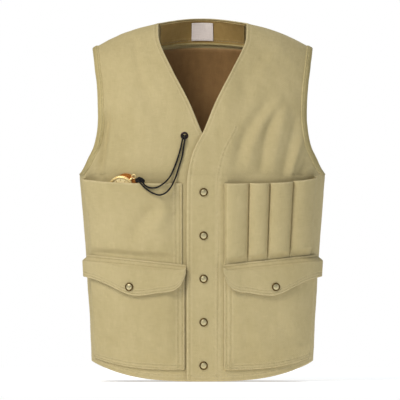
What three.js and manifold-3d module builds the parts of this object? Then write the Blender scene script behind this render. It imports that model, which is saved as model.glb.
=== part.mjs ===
// Fishing vest: a V-neck canvas vest with a lapped, snapped front, patch pockets and flaps,
// and a brass instrument on a lanyard. Millimetres, +Z up, +X to the wearer's left, front at -Y.
// The origin is where a hanger or a wearer's shoulders carry the vest: midway between the
// shoulder seams, at the height of their neck ends.

import * as THREE from 'three';
import { mergeVertices } from 'three/addons/utils/BufferGeometryUtils.js';
import Module from 'manifold-3d';

const wasm = await Module();
wasm.setup();

// ---- Driving dimensions -------------------------------------------------------------------

const LENGTH = 655; // hem to the neck end of the shoulder seam
const UNDERARM_HEIGHT = 377; // hem to the bottom of the armhole
const CHEST_HEIGHT = 430; // hem to the fullest part of the chest
const HALF_WIDTH_HEM = 203;
const HALF_WIDTH_UNDERARM = 225;
const FRONT_DEPTH_HEM = 112; // side seam to the front, at the hem
const FRONT_DEPTH_CHEST = 124;
const BACK_DEPTH_HEM = 92; // side seam to the back, at the hem
const BACK_DEPTH_CHEST = 104;
const BACK_DEPTH_NECK = 62;

const NECK_HALF_WIDTH = 82;
const SHOULDER_HALF_WIDTH = 201;
const SHOULDER_DROP = 46; // neck end of the shoulder seam down to its tip
const SHOULDER_BOW = 6; // middle of the shoulder seam above the straight line between its ends
const NECK_RISE = 10; // back neckline above the neck end of the shoulder seam
const HEM_RISE = 36; // side seam's lower end above the middle of the hem
const V_DEPTH = 201; // neck end of the shoulder seam down to the bottom of the V

const CANVAS = 2.0; // folded and stitched canvas
const LINING = 1.2;
const BINDING_WIDTH = 9;
const BINDING = 1.0;
const LAYER_GAP = 0.9; // between neighbouring layers of cloth
const FLAP_ABOVE_SEAM = 2.5;
const POCKET_ABOVE_SEAM = 1.5;
const SEAM_GAP = 0.4; // from a seam line to each of the pieces it joins
const METAL_GAP = 0.3; // between a fastener and the outer face of the cloth it is set in
const BACKING_GAP = 0.5; // between a fastener's flat back and the cloth's inner face
const POCKET_GAP = 1.2; // between a pocket's stitched edges and the front

const LAP = 28; // each front passes the centre line by this much
const LAP_LIFT = 5.7; // outer face of the lap's over layer off that of its under layer
const LAP_FADE = 40; // width over which the over layer comes back to the body line

const SNAP_COUNT = 5;
const SNAP_X = 2;
const SNAP_LOW = 28; // hem to the lowest snap
const SNAP_PITCH = 79.3;
const CAP_RADIUS = 7.75;
const CAP_HEIGHT = 2.4;
const SOCKET_RADIUS = 5.6;
const SOCKET_HEIGHT = 1.2;
const STUD_RADIUS = 5.6;
const STUD_FLANGE = 0.5;
const STUD_NUB_RADIUS = 1.9;
const STUD_HEIGHT = 1.2;
const POST_RADIUS = 5.6;
const POST_HEIGHT = 0.8;

const EYELET_X = -33;
const EYELET_BELOW_V = 6;
const EYELET_RADIUS = 7.4;
const EYELET_HOLE_RADIUS = 3.6;
const EYELET_BARREL_RADIUS = 4.2;
const EYELET_HEIGHT = 1.3;

const POCKET_CLOTH = 2.0;
const FLAP_CLOTH = 1.8;
const CHEST_POCKET_DEPTH = 13.5; // how far the pocket stands off the front
const TUBE_DEPTH = 12.5;
const LOWER_POCKET_DEPTH = 8.0;
const FLAP_DROP_SIDE = 36; // flap height at its ends
const FLAP_DROP_MIDDLE = 62;
const FLAP_ROOT = 4.8; // flap's inner face off the front, at its seam
const FLAP_SEAM_TO_POCKET = 19; // flap seam down to the mouth of the pocket under it
const FLAP_CLEARANCE = 3.8; // pocket to flap, with room for both halves of a snap

const CORD_RADIUS = 1.5;
const KNOT_RADIUS = 5.2;

const INSTRUMENT_RADIUS = 24.5;
const INSTRUMENT_X = -147.5;
const INSTRUMENT_HEIGHT = 351; // hem to the middle of the disc
const INSTRUMENT_STANDOFF = 2.0; // back of the case off the front panel
const CASE_THICKNESS = 5.0;

// ---- Helpers: numbers and curves ------------------------------------------------------------

const clamp01 = (t) => Math.min(1, Math.max(0, t));
const smoothstep = (low, high, t) => {
  const k = clamp01((t - low) / (high - low));
  return k * k * (3 - 2 * k);
};
const { lerp } = THREE.MathUtils;

// A smooth function through points [x, y], given in rising order of x.
function smoothThrough(points) {
  const last = points.length - 1;
  const slope = points.map((_, i) => {
    const [x0, y0] = points[Math.max(0, i - 1)];
    const [x1, y1] = points[Math.min(last, i + 1)];
    return (y1 - y0) / (x1 - x0);
  });
  return (x) => {
    if (x <= points[0][0]) return points[0][1];
    if (x >= points[last][0]) return points[last][1];
    const i = points.findIndex((p) => p[0] > x) - 1;
    const [x0, y0] = points[i];
    const [x1, y1] = points[i + 1];
    const w = x1 - x0;
    const t = (x - x0) / w;
    const a = (1 + 2 * t) * (1 - t) ** 2;
    const b = t * (1 - t) ** 2 * w;
    const c = t * t * (3 - 2 * t);
    const d = t * t * (t - 1) * w;
    return a * y0 + b * slope[i] + c * y1 + d * slope[i + 1];
  };
}

const bezier = (s, p0, p1, p2, p3) => {
  const r = 1 - s;
  return r * r * r * p0 + 3 * r * r * s * p1 + 3 * r * s * s * p2 + s * s * s * p3;
};

// The number in [low, high] where a rising function reaches a target.
function solve(rising, target, low, high) {
  for (let i = 0; i < 40; i += 1) {
    const middle = (low + high) / 2;
    if (rising(middle) < target) low = middle;
    else high = middle;
  }
  return (low + high) / 2;
}

// ---- The body line --------------------------------------------------------------------------
// A point on the vest has a girth coordinate q, from -1 at the right side seam through 0 at the
// middle to 1 at the left side seam, and a level v, from 0 at the hem to 1 at the shoulder seam.
// Levels are flat rings up to the chest, and above it they tilt to the slope of the shoulder.

const CHEST_LEVEL = 0.62;
const levelAngle = (v) => clamp01((v - CHEST_LEVEL) / (1 - CHEST_LEVEL)) * (Math.PI / 2);
const SHOULDER_SLOPE = SHOULDER_DROP / (SHOULDER_HALF_WIDTH - NECK_HALF_WIDTH);

const halfWidthAt = (v) => {
  const t = clamp01(v / (CHEST_LEVEL * (UNDERARM_HEIGHT / CHEST_HEIGHT)));
  return lerp(HALF_WIDTH_HEM, HALF_WIDTH_UNDERARM, t ** 1.4);
};
const levelHeight = (v) => {
  if (v <= CHEST_LEVEL) return (v / CHEST_LEVEL) * CHEST_HEIGHT;
  return CHEST_HEIGHT + (LENGTH - CHEST_HEIGHT) * Math.sin(levelAngle(v));
};
const neckShape = (x) => (1 - clamp01(Math.abs(x) / (NECK_HALF_WIDTH * 1.08)) ** 2) ** 1.25;

function heightAt(v, x, back) {
  const tilt = smoothstep(CHEST_LEVEL, 1, v);
  const beyondNeck = Math.max(0, Math.abs(x) - NECK_HALF_WIDTH);
  const share = clamp01(beyondNeck / (SHOULDER_HALF_WIDTH - NECK_HALF_WIDTH));
  const drop = SHOULDER_SLOPE * beyondNeck - SHOULDER_BOW * Math.sin(Math.PI * share);
  const rise = back ? NECK_RISE * neckShape(x) * Math.sin(levelAngle(v)) ** 4 : 0;
  const hem = HEM_RISE * (Math.abs(x) / HALF_WIDTH_HEM) ** 3 * (1 - smoothstep(0, 0.3, v));
  return levelHeight(v) - tilt * drop + rise + hem;
}

function depthAt(v, x, back) {
  const fall = Math.cos(levelAngle(v)) ** 1.25;
  const up = smoothstep(0.45, 1, v / CHEST_LEVEL);
  if (!back) return lerp(FRONT_DEPTH_HEM, FRONT_DEPTH_CHEST, up) * fall;
  const chest = lerp(BACK_DEPTH_HEM, BACK_DEPTH_CHEST, up);
  return lerp(chest * fall, lerp(chest, BACK_DEPTH_NECK, 1 - fall), neckShape(x));
}

const sectionX = (q) => Math.sign(q) * bezier(Math.abs(q), 0, 0.8, 1, 1);
const sectionDepth = (q) => bezier(Math.abs(q), 1, 1, 0.75, 0);

function bodyPoint(q, v, back) {
  const x = halfWidthAt(v) * sectionX(q);
  const depth = depthAt(v, x, back) * sectionDepth(q) + SEAM_GAP;
  return new THREE.Vector3(x, back ? depth : -depth, heightAt(v, x, back));
}

// The outward direction at a point, from its neighbours.
function bodyNormal(q, v, back) {
  const step = 0.004;
  const q0 = Math.max(-1, q - step);
  const q1 = Math.min(1, q + step);
  const v0 = Math.max(0, v - step);
  const v1 = Math.min(1, v + step);
  const across = bodyPoint(q1, v, back).sub(bodyPoint(q0, v, back));
  const up = bodyPoint(q, v1, back).sub(bodyPoint(q, v0, back));
  const normal = across.cross(up).normalize();
  return back ? normal.negate() : normal;
}

const offsetPoint = (q, v, back, offset) =>
  bodyPoint(q, v, back).addScaledVector(bodyNormal(q, v, back), offset);

// The girth coordinate of the point at x on level v, and the level of height z at x.
const girthOf = (x, v) => {
  const share = Math.min(Math.abs(x) / halfWidthAt(v), 0.9999);
  return Math.sign(x) * solve(sectionX, share, 0, 1);
};
const levelOf = (x, z, back = false) => solve((v) => heightAt(v, x, back), z, 0, 1);

// ---- Edges of the panels, as x against height above the hem ------------------------------------

const vBottom = LENGTH - V_DEPTH;
const frontEdge = smoothThrough([
  [0, LAP],
  [vBottom - 104, LAP],
  [vBottom - 68, LAP - 3],
  [vBottom - 31, LAP - 13],
  [vBottom, -1.5],
  [vBottom + 56, -25],
  [vBottom + 116, -56],
  [LENGTH - 34, NECK_HALF_WIDTH * -0.965],
  [LENGTH, -NECK_HALF_WIDTH],
]);
const shoulderTipHeight = LENGTH - SHOULDER_DROP;
const armholeEdge = smoothThrough([
  [UNDERARM_HEIGHT, HALF_WIDTH_UNDERARM],
  [UNDERARM_HEIGHT + 12, HALF_WIDTH_UNDERARM - 9],
  [UNDERARM_HEIGHT + 28, SHOULDER_HALF_WIDTH + 7],
  [UNDERARM_HEIGHT + 53, SHOULDER_HALF_WIDTH - 4],
  [UNDERARM_HEIGHT + 88, SHOULDER_HALF_WIDTH - 10],
  [UNDERARM_HEIGHT + 118, SHOULDER_HALF_WIDTH - 11],
  [shoulderTipHeight - 69, SHOULDER_HALF_WIDTH - 9],
  [shoulderTipHeight - 32, SHOULDER_HALF_WIDTH - 4],
  [shoulderTipHeight, SHOULDER_HALF_WIDTH],
]);

const UNDERARM_LEVEL = levelOf(HALF_WIDTH_UNDERARM, UNDERARM_HEIGHT);
const SIDE_SEAM_Q = 1;

// Girth coordinate of the armhole edge on level v, moved in by a margin.
function armholeGirth(v, back, margin = 0) {
  if (v <= UNDERARM_LEVEL + 1e-6) return SIDE_SEAM_Q - margin / HALF_WIDTH_UNDERARM;
  let x = SHOULDER_HALF_WIDTH;
  for (let i = 0; i < 16; i += 1) x = armholeEdge(heightAt(v, x, back));
  return girthOf(x - margin, v);
}

// Girth coordinate of a front's inner edge on level v; side is 1 for the wearer's left front.
function frontGirth(v, side) {
  let x = LAP;
  for (let i = 0; i < 8; i += 1) x = frontEdge(heightAt(v, -side * x, false));
  return girthOf(-side * x, v);
}

// Levels of a panel's rows, with one row at the underarm.
function levels(below, above, top = 1) {
  const list = [];
  for (let i = 0; i < below; i += 1) list.push((UNDERARM_LEVEL * i) / below);
  for (let i = 0; i <= above; i += 1) list.push(lerp(UNDERARM_LEVEL, top, (i / above) ** 1.15));
  return list;
}

// ---- Solids -----------------------------------------------------------------------------------

function asGeometry(positions, index) {
  const geometry = new THREE.BufferGeometry();
  geometry.setAttribute('position', new THREE.Float32BufferAttribute(positions, 3));
  geometry.setIndex(index);
  return geometry;
}

function signedVolume(positions, index) {
  let sum = 0;
  const corner = [0, 1, 2].map(() => new THREE.Vector3());
  for (let i = 0; i < index.length; i += 3) {
    corner.forEach((c, k) => c.fromArray(positions, 3 * index[i + k]));
    sum += corner[0].dot(corner[1].clone().cross(corner[2]));
  }
  return sum;
}

// A closed sheet between an outer and an inner skin, each a function of column and row.
// Both skins are split along the same diagonals; leansBack(i) picks the other one for a column.
function sheetSolid(columns, rows, outer, inner, leansBack) {
  const positions = [];
  const index = [];
  [outer, inner].forEach((skin) => {
    for (let j = 0; j <= rows; j += 1) {
      for (let i = 0; i <= columns; i += 1) positions.push(...skin(i, j).toArray());
    }
  });
  const layer = (columns + 1) * (rows + 1);
  const at = (i, j, k) => k * layer + j * (columns + 1) + i;
  const quad = (a, b, c, d) => index.push(a, b, c, a, c, d);
  for (let j = 0; j < rows; j += 1) {
    for (let i = 0; i < columns; i += 1) {
      if (leansBack(i)) {
        quad(at(i + 1, j, 0), at(i + 1, j + 1, 0), at(i, j + 1, 0), at(i, j, 0));
        quad(at(i + 1, j, 1), at(i, j, 1), at(i, j + 1, 1), at(i + 1, j + 1, 1));
      } else {
        quad(at(i, j, 0), at(i + 1, j, 0), at(i + 1, j + 1, 0), at(i, j + 1, 0));
        quad(at(i, j, 1), at(i, j + 1, 1), at(i + 1, j + 1, 1), at(i + 1, j, 1));
      }
    }
    quad(at(0, j, 1), at(0, j, 0), at(0, j + 1, 0), at(0, j + 1, 1));
    quad(at(columns, j + 1, 1), at(columns, j + 1, 0), at(columns, j, 0), at(columns, j, 1));
  }
  for (let i = 0; i < columns; i += 1) {
    quad(at(i + 1, 0, 0), at(i, 0, 0), at(i, 0, 1), at(i + 1, 0, 1));
    quad(at(i, rows, 0), at(i + 1, rows, 0), at(i + 1, rows, 1), at(i, rows, 1));
  }
  if (signedVolume(positions, index) < 0) index.reverse();
  return asGeometry(positions, index);
}

// A sheet on the body line. place(i, j) gives { q, v, offset } of its inner face. One that wraps
// the middle of the back is split into triangles alike on both sides.
function clothSolid(columns, rows, thickness, place, back = false, wraps = false) {
  const leansBack = (i) => wraps && i < columns / 2;
  const skin = (extra) => (i, j) => {
    const { q, v, offset } = place(i, j);
    return offsetPoint(q, v, back, offset + extra);
  };
  return sheetSolid(columns, rows, skin(thickness), skin(0), leansBack);
}

const turned = (profile, segments) =>
  new THREE.LatheGeometry(
    profile.map(([r, z]) => new THREE.Vector2(r, z)),
    segments,
  ).rotateX(Math.PI / 2);

function toManifold(geometry) {
  const plain = geometry.clone();
  plain.deleteAttribute('normal');
  plain.deleteAttribute('uv');
  const merged = mergeVertices(plain, 1e-4);
  return new wasm.Manifold(
    new wasm.Mesh({
      numProp: 3,
      vertProperties: new Float32Array(merged.attributes.position.array),
      triVerts: new Uint32Array(merged.index.array),
    }),
  );
}

function cut(geometry, tool) {
  const mesh = toManifold(geometry).subtract(toManifold(tool)).getMesh();
  return asGeometry(Array.from(mesh.vertProperties), Array.from(mesh.triVerts));
}

// ---- Materials ----------------------------------------------------------------------------------

const material = (color, roughness, metalness = 0) =>
  new THREE.MeshStandardMaterial({ color, roughness, metalness });

const CANVAS_COLOR = 0xb8aa7e;
const LINING_COLOR = 0x644c2c;
const SNAP_COLOR = 0xa08c5c;

const vest = new THREE.Group();
vest.name = 'fishing_vest';
vest.position.z = -LENGTH;

function add(name, geometry, look, frame = null) {
  const mesh = new THREE.Mesh(geometry, look);
  mesh.name = name;
  if (frame) {
    mesh.position.copy(frame.position);
    mesh.quaternion.copy(frame.quaternion);
  }
  vest.add(mesh);
  return mesh;
}

// Local frame on the front: +Z outward, +Y up the cloth, with its origin off the body line.
function frontFrame(x, z, offset, shiftX = 0, shiftY = 0) {
  const v = levelOf(x, z);
  const q = girthOf(x, v);
  const normal = bodyNormal(q, v, false);
  const up = new THREE.Vector3(0, 0, 1).addScaledVector(normal, -normal.z).normalize();
  const across = up.clone().cross(normal);
  const position = offsetPoint(q, v, false, offset);
  position.addScaledVector(across, shiftX).addScaledVector(up, shiftY);
  const basis = new THREE.Matrix4().makeBasis(across, up, normal);
  return { position, quaternion: new THREE.Quaternion().setFromRotationMatrix(basis) };
}

// ---- Back -----------------------------------------------------------------------------------------

// Columns of the back: evenly spaced over the neck, then out to the binding and the edge.
const NECK_COLUMNS = 8;
const SIDE_COLUMNS = 5;
const BACK_COLUMNS = NECK_COLUMNS + 2 * SIDE_COLUMNS;

function backGirth(i, v, margin) {
  const side = Math.sign(i - BACK_COLUMNS / 2);
  const k = Math.abs(i - BACK_COLUMNS / 2);
  const x = (NECK_HALF_WIDTH * Math.min(k, NECK_COLUMNS / 2)) / (NECK_COLUMNS / 2);
  const outer = k - NECK_COLUMNS / 2;
  if (outer <= 0) return side * girthOf(x, v);
  if (outer === SIDE_COLUMNS) return side * armholeGirth(v, true, margin);
  const last = armholeGirth(v, true, BINDING_WIDTH);
  return side * lerp(girthOf(x, v), last, outer / (SIDE_COLUMNS - 1));
}

function backSheet(thickness, offset, rows, margin) {
  const place = (i, j) => ({ q: backGirth(i, rows[j], margin), v: rows[j], offset });
  return clothSolid(BACK_COLUMNS, rows.length - 1, thickness, place, true, true);
}

const panelRows = levels(7, 10);
add('back_panel', backSheet(CANVAS, -CANVAS, panelRows, 0), material(CANVAS_COLOR, 0.9));

const liningOffset = -CANVAS - LAYER_GAP - LINING; // inner face off the body line
const FACING_DROP = 44; // back neckline down to the piped edge of the facing
const FACING_HALF_WIDTH = NECK_HALF_WIDTH - 3;
const backNeckHeight = LENGTH + NECK_RISE;
const facingOffset = liningOffset - 0.5;
const facingLevel = levelOf(0, backNeckHeight - FACING_DROP, true);
const PIPING_WIDTH = 4;
const PIPING = 2.4;
const pipingLevel = levelOf(0, backNeckHeight - FACING_DROP - PIPING_WIDTH, true);
const backLiningTop = levelOf(0, backNeckHeight - FACING_DROP - PIPING_WIDTH - 2, true);
const LINING_MARGIN = 6;

const backLiningRows = [...panelRows.filter((v) => v < backLiningTop - 0.01), backLiningTop];
add(
  'back_lining',
  backSheet(LINING, liningOffset, backLiningRows, LINING_MARGIN),
  material(LINING_COLOR, 0.7),
);

// A strip inside the back neck, on the back panel's own rows between two levels.
function neckStrip(thickness, offset, low, high, halfWidth, columns) {
  const rows = [low, ...panelRows.filter((v) => v > low + 0.01 && v < high - 0.01), high];
  const place = (i, j) => {
    const x = halfWidth * ((2 * i) / columns - 1);
    return { q: girthOf(x, rows[j]), v: rows[j], offset };
  };
  return clothSolid(columns, rows.length - 1, thickness, place, true, true);
}

add(
  'neck_facing',
  neckStrip(LINING, facingOffset, facingLevel + 0.004, 1, FACING_HALF_WIDTH, NECK_COLUMNS),
  material(0x7d6b42, 0.9),
);
add(
  'neck_piping',
  neckStrip(
    PIPING,
    facingOffset - PIPING + LINING,
    pipingLevel,
    facingLevel,
    FACING_HALF_WIDTH,
    NECK_COLUMNS,
  ),
  material(0x9a8a5c, 0.9),
);

const LABEL_WIDTH = 42;
const LABEL_HEIGHT = 34;
const LABEL_THICKNESS = 0.6;
const LABEL_GAP = 1.5;
const labelTop = levelOf(0, backNeckHeight - 5, true);
const labelLow = levelOf(0, backNeckHeight - 5 - LABEL_HEIGHT, true);
add(
  'neck_label',
  neckStrip(
    LABEL_THICKNESS,
    facingOffset - LABEL_THICKNESS - LABEL_GAP,
    labelLow,
    labelTop,
    LABEL_WIDTH / 2,
    4,
  ),
  material(0xe4d8d6, 0.6),
);

// Binding along one armhole edge; side is 1 for the wearer's left.
function armholeBinding(side, back) {
  const rows = panelRows.filter((v) => v >= UNDERARM_LEVEL - 1e-9);
  const place = (i, j) => {
    const q = side * armholeGirth(rows[j], back, i === 0 ? BINDING_WIDTH : SEAM_GAP);
    return { q, v: rows[j], offset: LAYER_GAP };
  };
  return clothSolid(1, rows.length - 1, BINDING, place, back);
}

const sides = [
  ['right', -1],
  ['left', 1],
];
sides.forEach(([name, side]) => {
  add(`${name}_back_binding`, armholeBinding(side, true), material(0xa89a6c, 0.9));
  add(`${name}_front_binding`, armholeBinding(side, false), material(0xa89a6c, 0.9));
});

// ---- Fronts ---------------------------------------------------------------------------------------

// How far a front stands off the body line where the over layer laps the under layer.
const lapLift = (x, side) =>
  side > 0 ? LAP_LIFT * (1 - smoothstep(LAP + 12, LAP + 12 + LAP_FADE, x)) : 0;

// Columns run evenly from the front edge to the binding, and the last one to the armhole edge.
// A sheet may start at a later column, as the lining does beside the canvas facing.
const FRONT_COLUMNS = 12;
const LINING_FIRST_COLUMN = 4;

function frontSheet(side, thickness, offset, firstColumn, outerMargin) {
  const place = (i, j) => {
    const column = firstColumn + i;
    const v = panelRows[j];
    const isEdge = column === FRONT_COLUMNS;
    const outer = side * armholeGirth(v, false, isEdge ? outerMargin : BINDING_WIDTH);
    const q = isEdge ? outer : lerp(frontGirth(v, side), outer, column / (FRONT_COLUMNS - 1));
    return { q, v, offset: offset + lapLift(halfWidthAt(v) * sectionX(q), side) };
  };
  return clothSolid(FRONT_COLUMNS - firstColumn, panelRows.length - 1, thickness, place);
}

const eyeletHeight = vBottom - EYELET_BELOW_V;
const eyeletFrame = frontFrame(EYELET_X, eyeletHeight, 0);
const eyeletHoleRadius = EYELET_BARREL_RADIUS + METAL_GAP;
const eyeletHole = new THREE.CylinderGeometry(eyeletHoleRadius, eyeletHoleRadius, 24, 16)
  .rotateX(Math.PI / 2)
  .applyQuaternion(eyeletFrame.quaternion)
  .translate(...eyeletFrame.position.toArray());

sides.forEach(([name, side]) => {
  const panel = frontSheet(side, CANVAS, -CANVAS, 0, 0);
  add(
    `${name}_front_panel`,
    side < 0 ? cut(panel, eyeletHole) : panel,
    material(CANVAS_COLOR, 0.9),
  );
  add(
    `${name}_front_lining`,
    frontSheet(side, LINING, liningOffset, LINING_FIRST_COLUMN, LINING_MARGIN),
    material(LINING_COLOR, 0.7),
  );
});

// ---- Snaps ----------------------------------------------------------------------------------------

const capProfile = [
  [0, 0],
  [CAP_RADIUS - 0.5, 0],
  [CAP_RADIUS, 0.5],
  [CAP_RADIUS - 0.6, CAP_HEIGHT - 0.7],
  [CAP_RADIUS * 0.45, CAP_HEIGHT],
  [0, CAP_HEIGHT],
];
const socketProfile = [
  [STUD_NUB_RADIUS + 0.4, 0],
  [SOCKET_RADIUS, 0],
  [SOCKET_RADIUS - 0.4, SOCKET_HEIGHT],
  [STUD_NUB_RADIUS + 0.4, SOCKET_HEIGHT],
  [STUD_NUB_RADIUS + 0.4, 0],
];
const studProfile = [
  [0, 0],
  [STUD_RADIUS, 0],
  [STUD_RADIUS - 0.2, STUD_FLANGE],
  [STUD_NUB_RADIUS, STUD_FLANGE],
  [STUD_NUB_RADIUS, STUD_HEIGHT],
  [0, STUD_HEIGHT],
];
const postProfile = [
  [0, 0],
  [POST_RADIUS - 0.3, 0],
  [POST_RADIUS, POST_HEIGHT],
  [0, POST_HEIGHT],
];
const METAL = material(SNAP_COLOR, 0.4, 0.9);

// Cap on the outer face of a cloth and socket on its inner face, at its inner face's offset.
function addSnapTop(name, x, z, innerFace, thickness) {
  const capOffset = innerFace + thickness + METAL_GAP;
  const socketOffset = innerFace - BACKING_GAP - SOCKET_HEIGHT;
  add(`${name}_cap`, turned(capProfile, 14), METAL, frontFrame(x, z, capOffset));
  add(`${name}_socket`, turned(socketProfile, 12), METAL, frontFrame(x, z, socketOffset));
}

// Stud on the outer face of a cloth and post on its inner face.
function addSnapBase(name, x, z, innerFace, thickness) {
  const studOffset = innerFace + thickness + METAL_GAP;
  const postOffset = innerFace - BACKING_GAP - POST_HEIGHT;
  add(`${name}_stud`, turned(studProfile, 12), METAL, frontFrame(x, z, studOffset));
  add(`${name}_post`, turned(postProfile, 12), METAL, frontFrame(x, z, postOffset));
}

for (let i = 0; i < SNAP_COUNT; i += 1) {
  const z = SNAP_LOW + i * SNAP_PITCH;
  addSnapTop(`placket_${i + 1}`, SNAP_X, z, LAP_LIFT - CANVAS, CANVAS);
  addSnapBase(`placket_${i + 1}`, SNAP_X, z, -CANVAS, CANVAS);
}

// ---- Eyelet -----------------------------------------------------------------------------------------

add(
  'eyelet',
  turned(
    [
      [EYELET_HOLE_RADIUS, -CANVAS],
      [EYELET_BARREL_RADIUS, -CANVAS],
      [EYELET_BARREL_RADIUS, METAL_GAP],
      [EYELET_RADIUS, METAL_GAP],
      [EYELET_RADIUS - 1.2, EYELET_HEIGHT],
      [EYELET_HOLE_RADIUS + 0.5, EYELET_HEIGHT],
      [EYELET_HOLE_RADIUS, EYELET_HEIGHT - 0.5],
      [EYELET_HOLE_RADIUS, -CANVAS],
    ],
    16,
  ),
  METAL,
  eyeletFrame,
);
const WASHER = 0.8;
const washerTop = -CANVAS - BACKING_GAP - METAL_GAP;
add(
  'eyelet_washer',
  turned(
    [
      [EYELET_HOLE_RADIUS, washerTop - WASHER],
      [EYELET_RADIUS - 0.5, washerTop - WASHER],
      [EYELET_RADIUS - 0.5, washerTop],
      [EYELET_HOLE_RADIUS, washerTop],
      [EYELET_HOLE_RADIUS, washerTop - WASHER],
    ],
    16,
  ),
  METAL,
  eyeletFrame,
);

// ---- Pockets ----------------------------------------------------------------------------------------
// A pocket is one sheet stitched to its front along the sides and bottom, which stands off it in
// between and is open at the top. A pocket's outer side follows the body line at a fixed girth.

const POCKET_REACH = 0.76; // girth coordinate of the lower pockets' outer sides
const CHEST_POCKET_REACH = 0.74;
const TUBE_REACH = 0.65;
const MOUTH_HEIGHT = 361; // hem to the upper pockets' open edges
const POCKET_FOOT = 21; // hem to the lower pockets' bottom edges
const EDGE_RAMP = 0.1; // share of a pocket's width over which it rises from its stitching

const chestSeam = { inner: 209, outer: 228 }; // height of the flap seam at its two ends
const seamHeight = (t) => lerp(chestSeam.inner, chestSeam.outer, t);

// Sheet from column u = 0 at the inner side to u = 1 at the outer, measured along the cloth, and
// row w = 0 at the bottom to 1 at the top. shape gives innerX, reach, standoff(u, w), and the heights
// bottom(t) and top(t), where t is the same share of the width as it is seen from the front.
function pocketSheet(side, columns, rows, thickness, shape) {
  return clothSolid(columns, rows.length - 1, thickness, (i, j) => {
    const u = shape.columnAt ? shape.columnAt(i / columns) : i / columns;
    const w = rows[j];
    const middle = levelOf(side * 120, lerp(shape.bottom(0.5), shape.top(0.5), w));
    const inner = girthOf(side * shape.innerX, middle);
    const q = lerp(inner, side * shape.reach, u);
    const t = (sectionX(q) - sectionX(inner)) / (sectionX(side * shape.reach) - sectionX(inner));
    const z = lerp(shape.bottom(t), shape.top(t), w);
    const v = levelOf(halfWidthAt(middle) * sectionX(q), z);
    const lift = lapLift(halfWidthAt(v) * sectionX(q), side);
    return { q, v, offset: POCKET_GAP + lift + shape.standoff(u, w) };
  });
}

// Rises from each side over the ramp, and from the bottom over the lowest rows.
const patchStandoff = (depth) => (u, w) =>
  depth * smoothstep(0, EDGE_RAMP, u) * smoothstep(0, EDGE_RAMP, 1 - u) * smoothstep(0, 0.16, w);

// Columns close together at the two sides, where the sheet rises.
const sideColumns = (count) => {
  const edge = [0, EDGE_RAMP * 0.35, EDGE_RAMP * 0.7, EDGE_RAMP];
  const middle = count - 2 * (edge.length - 1);
  return (t) => {
    const k = Math.round(t * count);
    if (k < edge.length) return edge[k];
    if (k > count - edge.length) return 1 - edge[count - k];
    return lerp(EDGE_RAMP, 1 - EDGE_RAMP, (k - edge.length + 1) / middle);
  };
};

const POCKET_COLUMNS = 15;
const pocketRows = [0, 0.05, 0.1, 0.16, 0.4, 0.7, 1];

const chestPocket = {
  innerX: 38,
  reach: CHEST_POCKET_REACH,
  bottom: (t) => seamHeight(t) + POCKET_ABOVE_SEAM,
  top: (t) => MOUTH_HEIGHT + 10 * t ** 4,
  standoff: patchStandoff(CHEST_POCKET_DEPTH),
  columnAt: sideColumns(POCKET_COLUMNS),
};
add(
  'right_chest_pocket',
  pocketSheet(-1, POCKET_COLUMNS, pocketRows, POCKET_CLOTH, chestPocket),
  material(CANVAS_COLOR, 0.9),
);

const lowerPocket = (innerX) => ({
  innerX,
  reach: POCKET_REACH,
  bottom: (t) => POCKET_FOOT + 22 * t ** 3,
  top: (t) => seamHeight(t) - FLAP_SEAM_TO_POCKET,
  standoff: patchStandoff(LOWER_POCKET_DEPTH),
  columnAt: sideColumns(POCKET_COLUMNS),
});
const lowerPocketInnerX = { right: 33, left: 40 };
sides.forEach(([name, side]) => {
  add(
    `${name}_lower_pocket`,
    pocketSheet(side, POCKET_COLUMNS, pocketRows, POCKET_CLOTH, lowerPocket(lowerPocketInnerX[name])),
    material(CANVAS_COLOR, 0.9),
  );
});

// Four upright tubes side by side, each a half round between two lines of stitching.
const TUBE_EDGES = [0, 0.18, 0.36, 0.62, 1];
const TUBE_STEPS = 7;
const TUBE_COUNT = TUBE_EDGES.length - 1;
const tubeArch = (t) => Math.max(0, 1 - (2 * t - 1) ** 2) ** 0.5;
const tubePocket = {
  innerX: 40,
  reach: TUBE_REACH,
  bottom: (t) => seamHeight(t) + POCKET_ABOVE_SEAM,
  top: (t) => MOUTH_HEIGHT + 12 * t ** 4,
  columnAt: (t) => {
    const k = Math.round(t * TUBE_COUNT * TUBE_STEPS);
    const tube = Math.min(TUBE_COUNT - 1, Math.floor(k / TUBE_STEPS));
    const part = (k - tube * TUBE_STEPS) / TUBE_STEPS;
    return lerp(TUBE_EDGES[tube], TUBE_EDGES[tube + 1], 0.5 - 0.5 * Math.cos(Math.PI * part));
  },
  standoff: (u, w) => {
    const next = TUBE_EDGES.findIndex((edge) => edge > u - 1e-9 && edge > 0);
    const low = TUBE_EDGES[next - 1];
    const t = (u - low) / (TUBE_EDGES[next] - low);
    return TUBE_DEPTH * tubeArch(t) * smoothstep(0, 0.12, w);
  },
};
add(
  'left_tube_pocket',
  pocketSheet(1, TUBE_COUNT * TUBE_STEPS, [0, 0.04, 0.08, 0.12, 0.5, 1], POCKET_CLOTH, tubePocket),
  material(CANVAS_COLOR, 0.9),
);

// ---- Flaps ------------------------------------------------------------------------------------------

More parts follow.
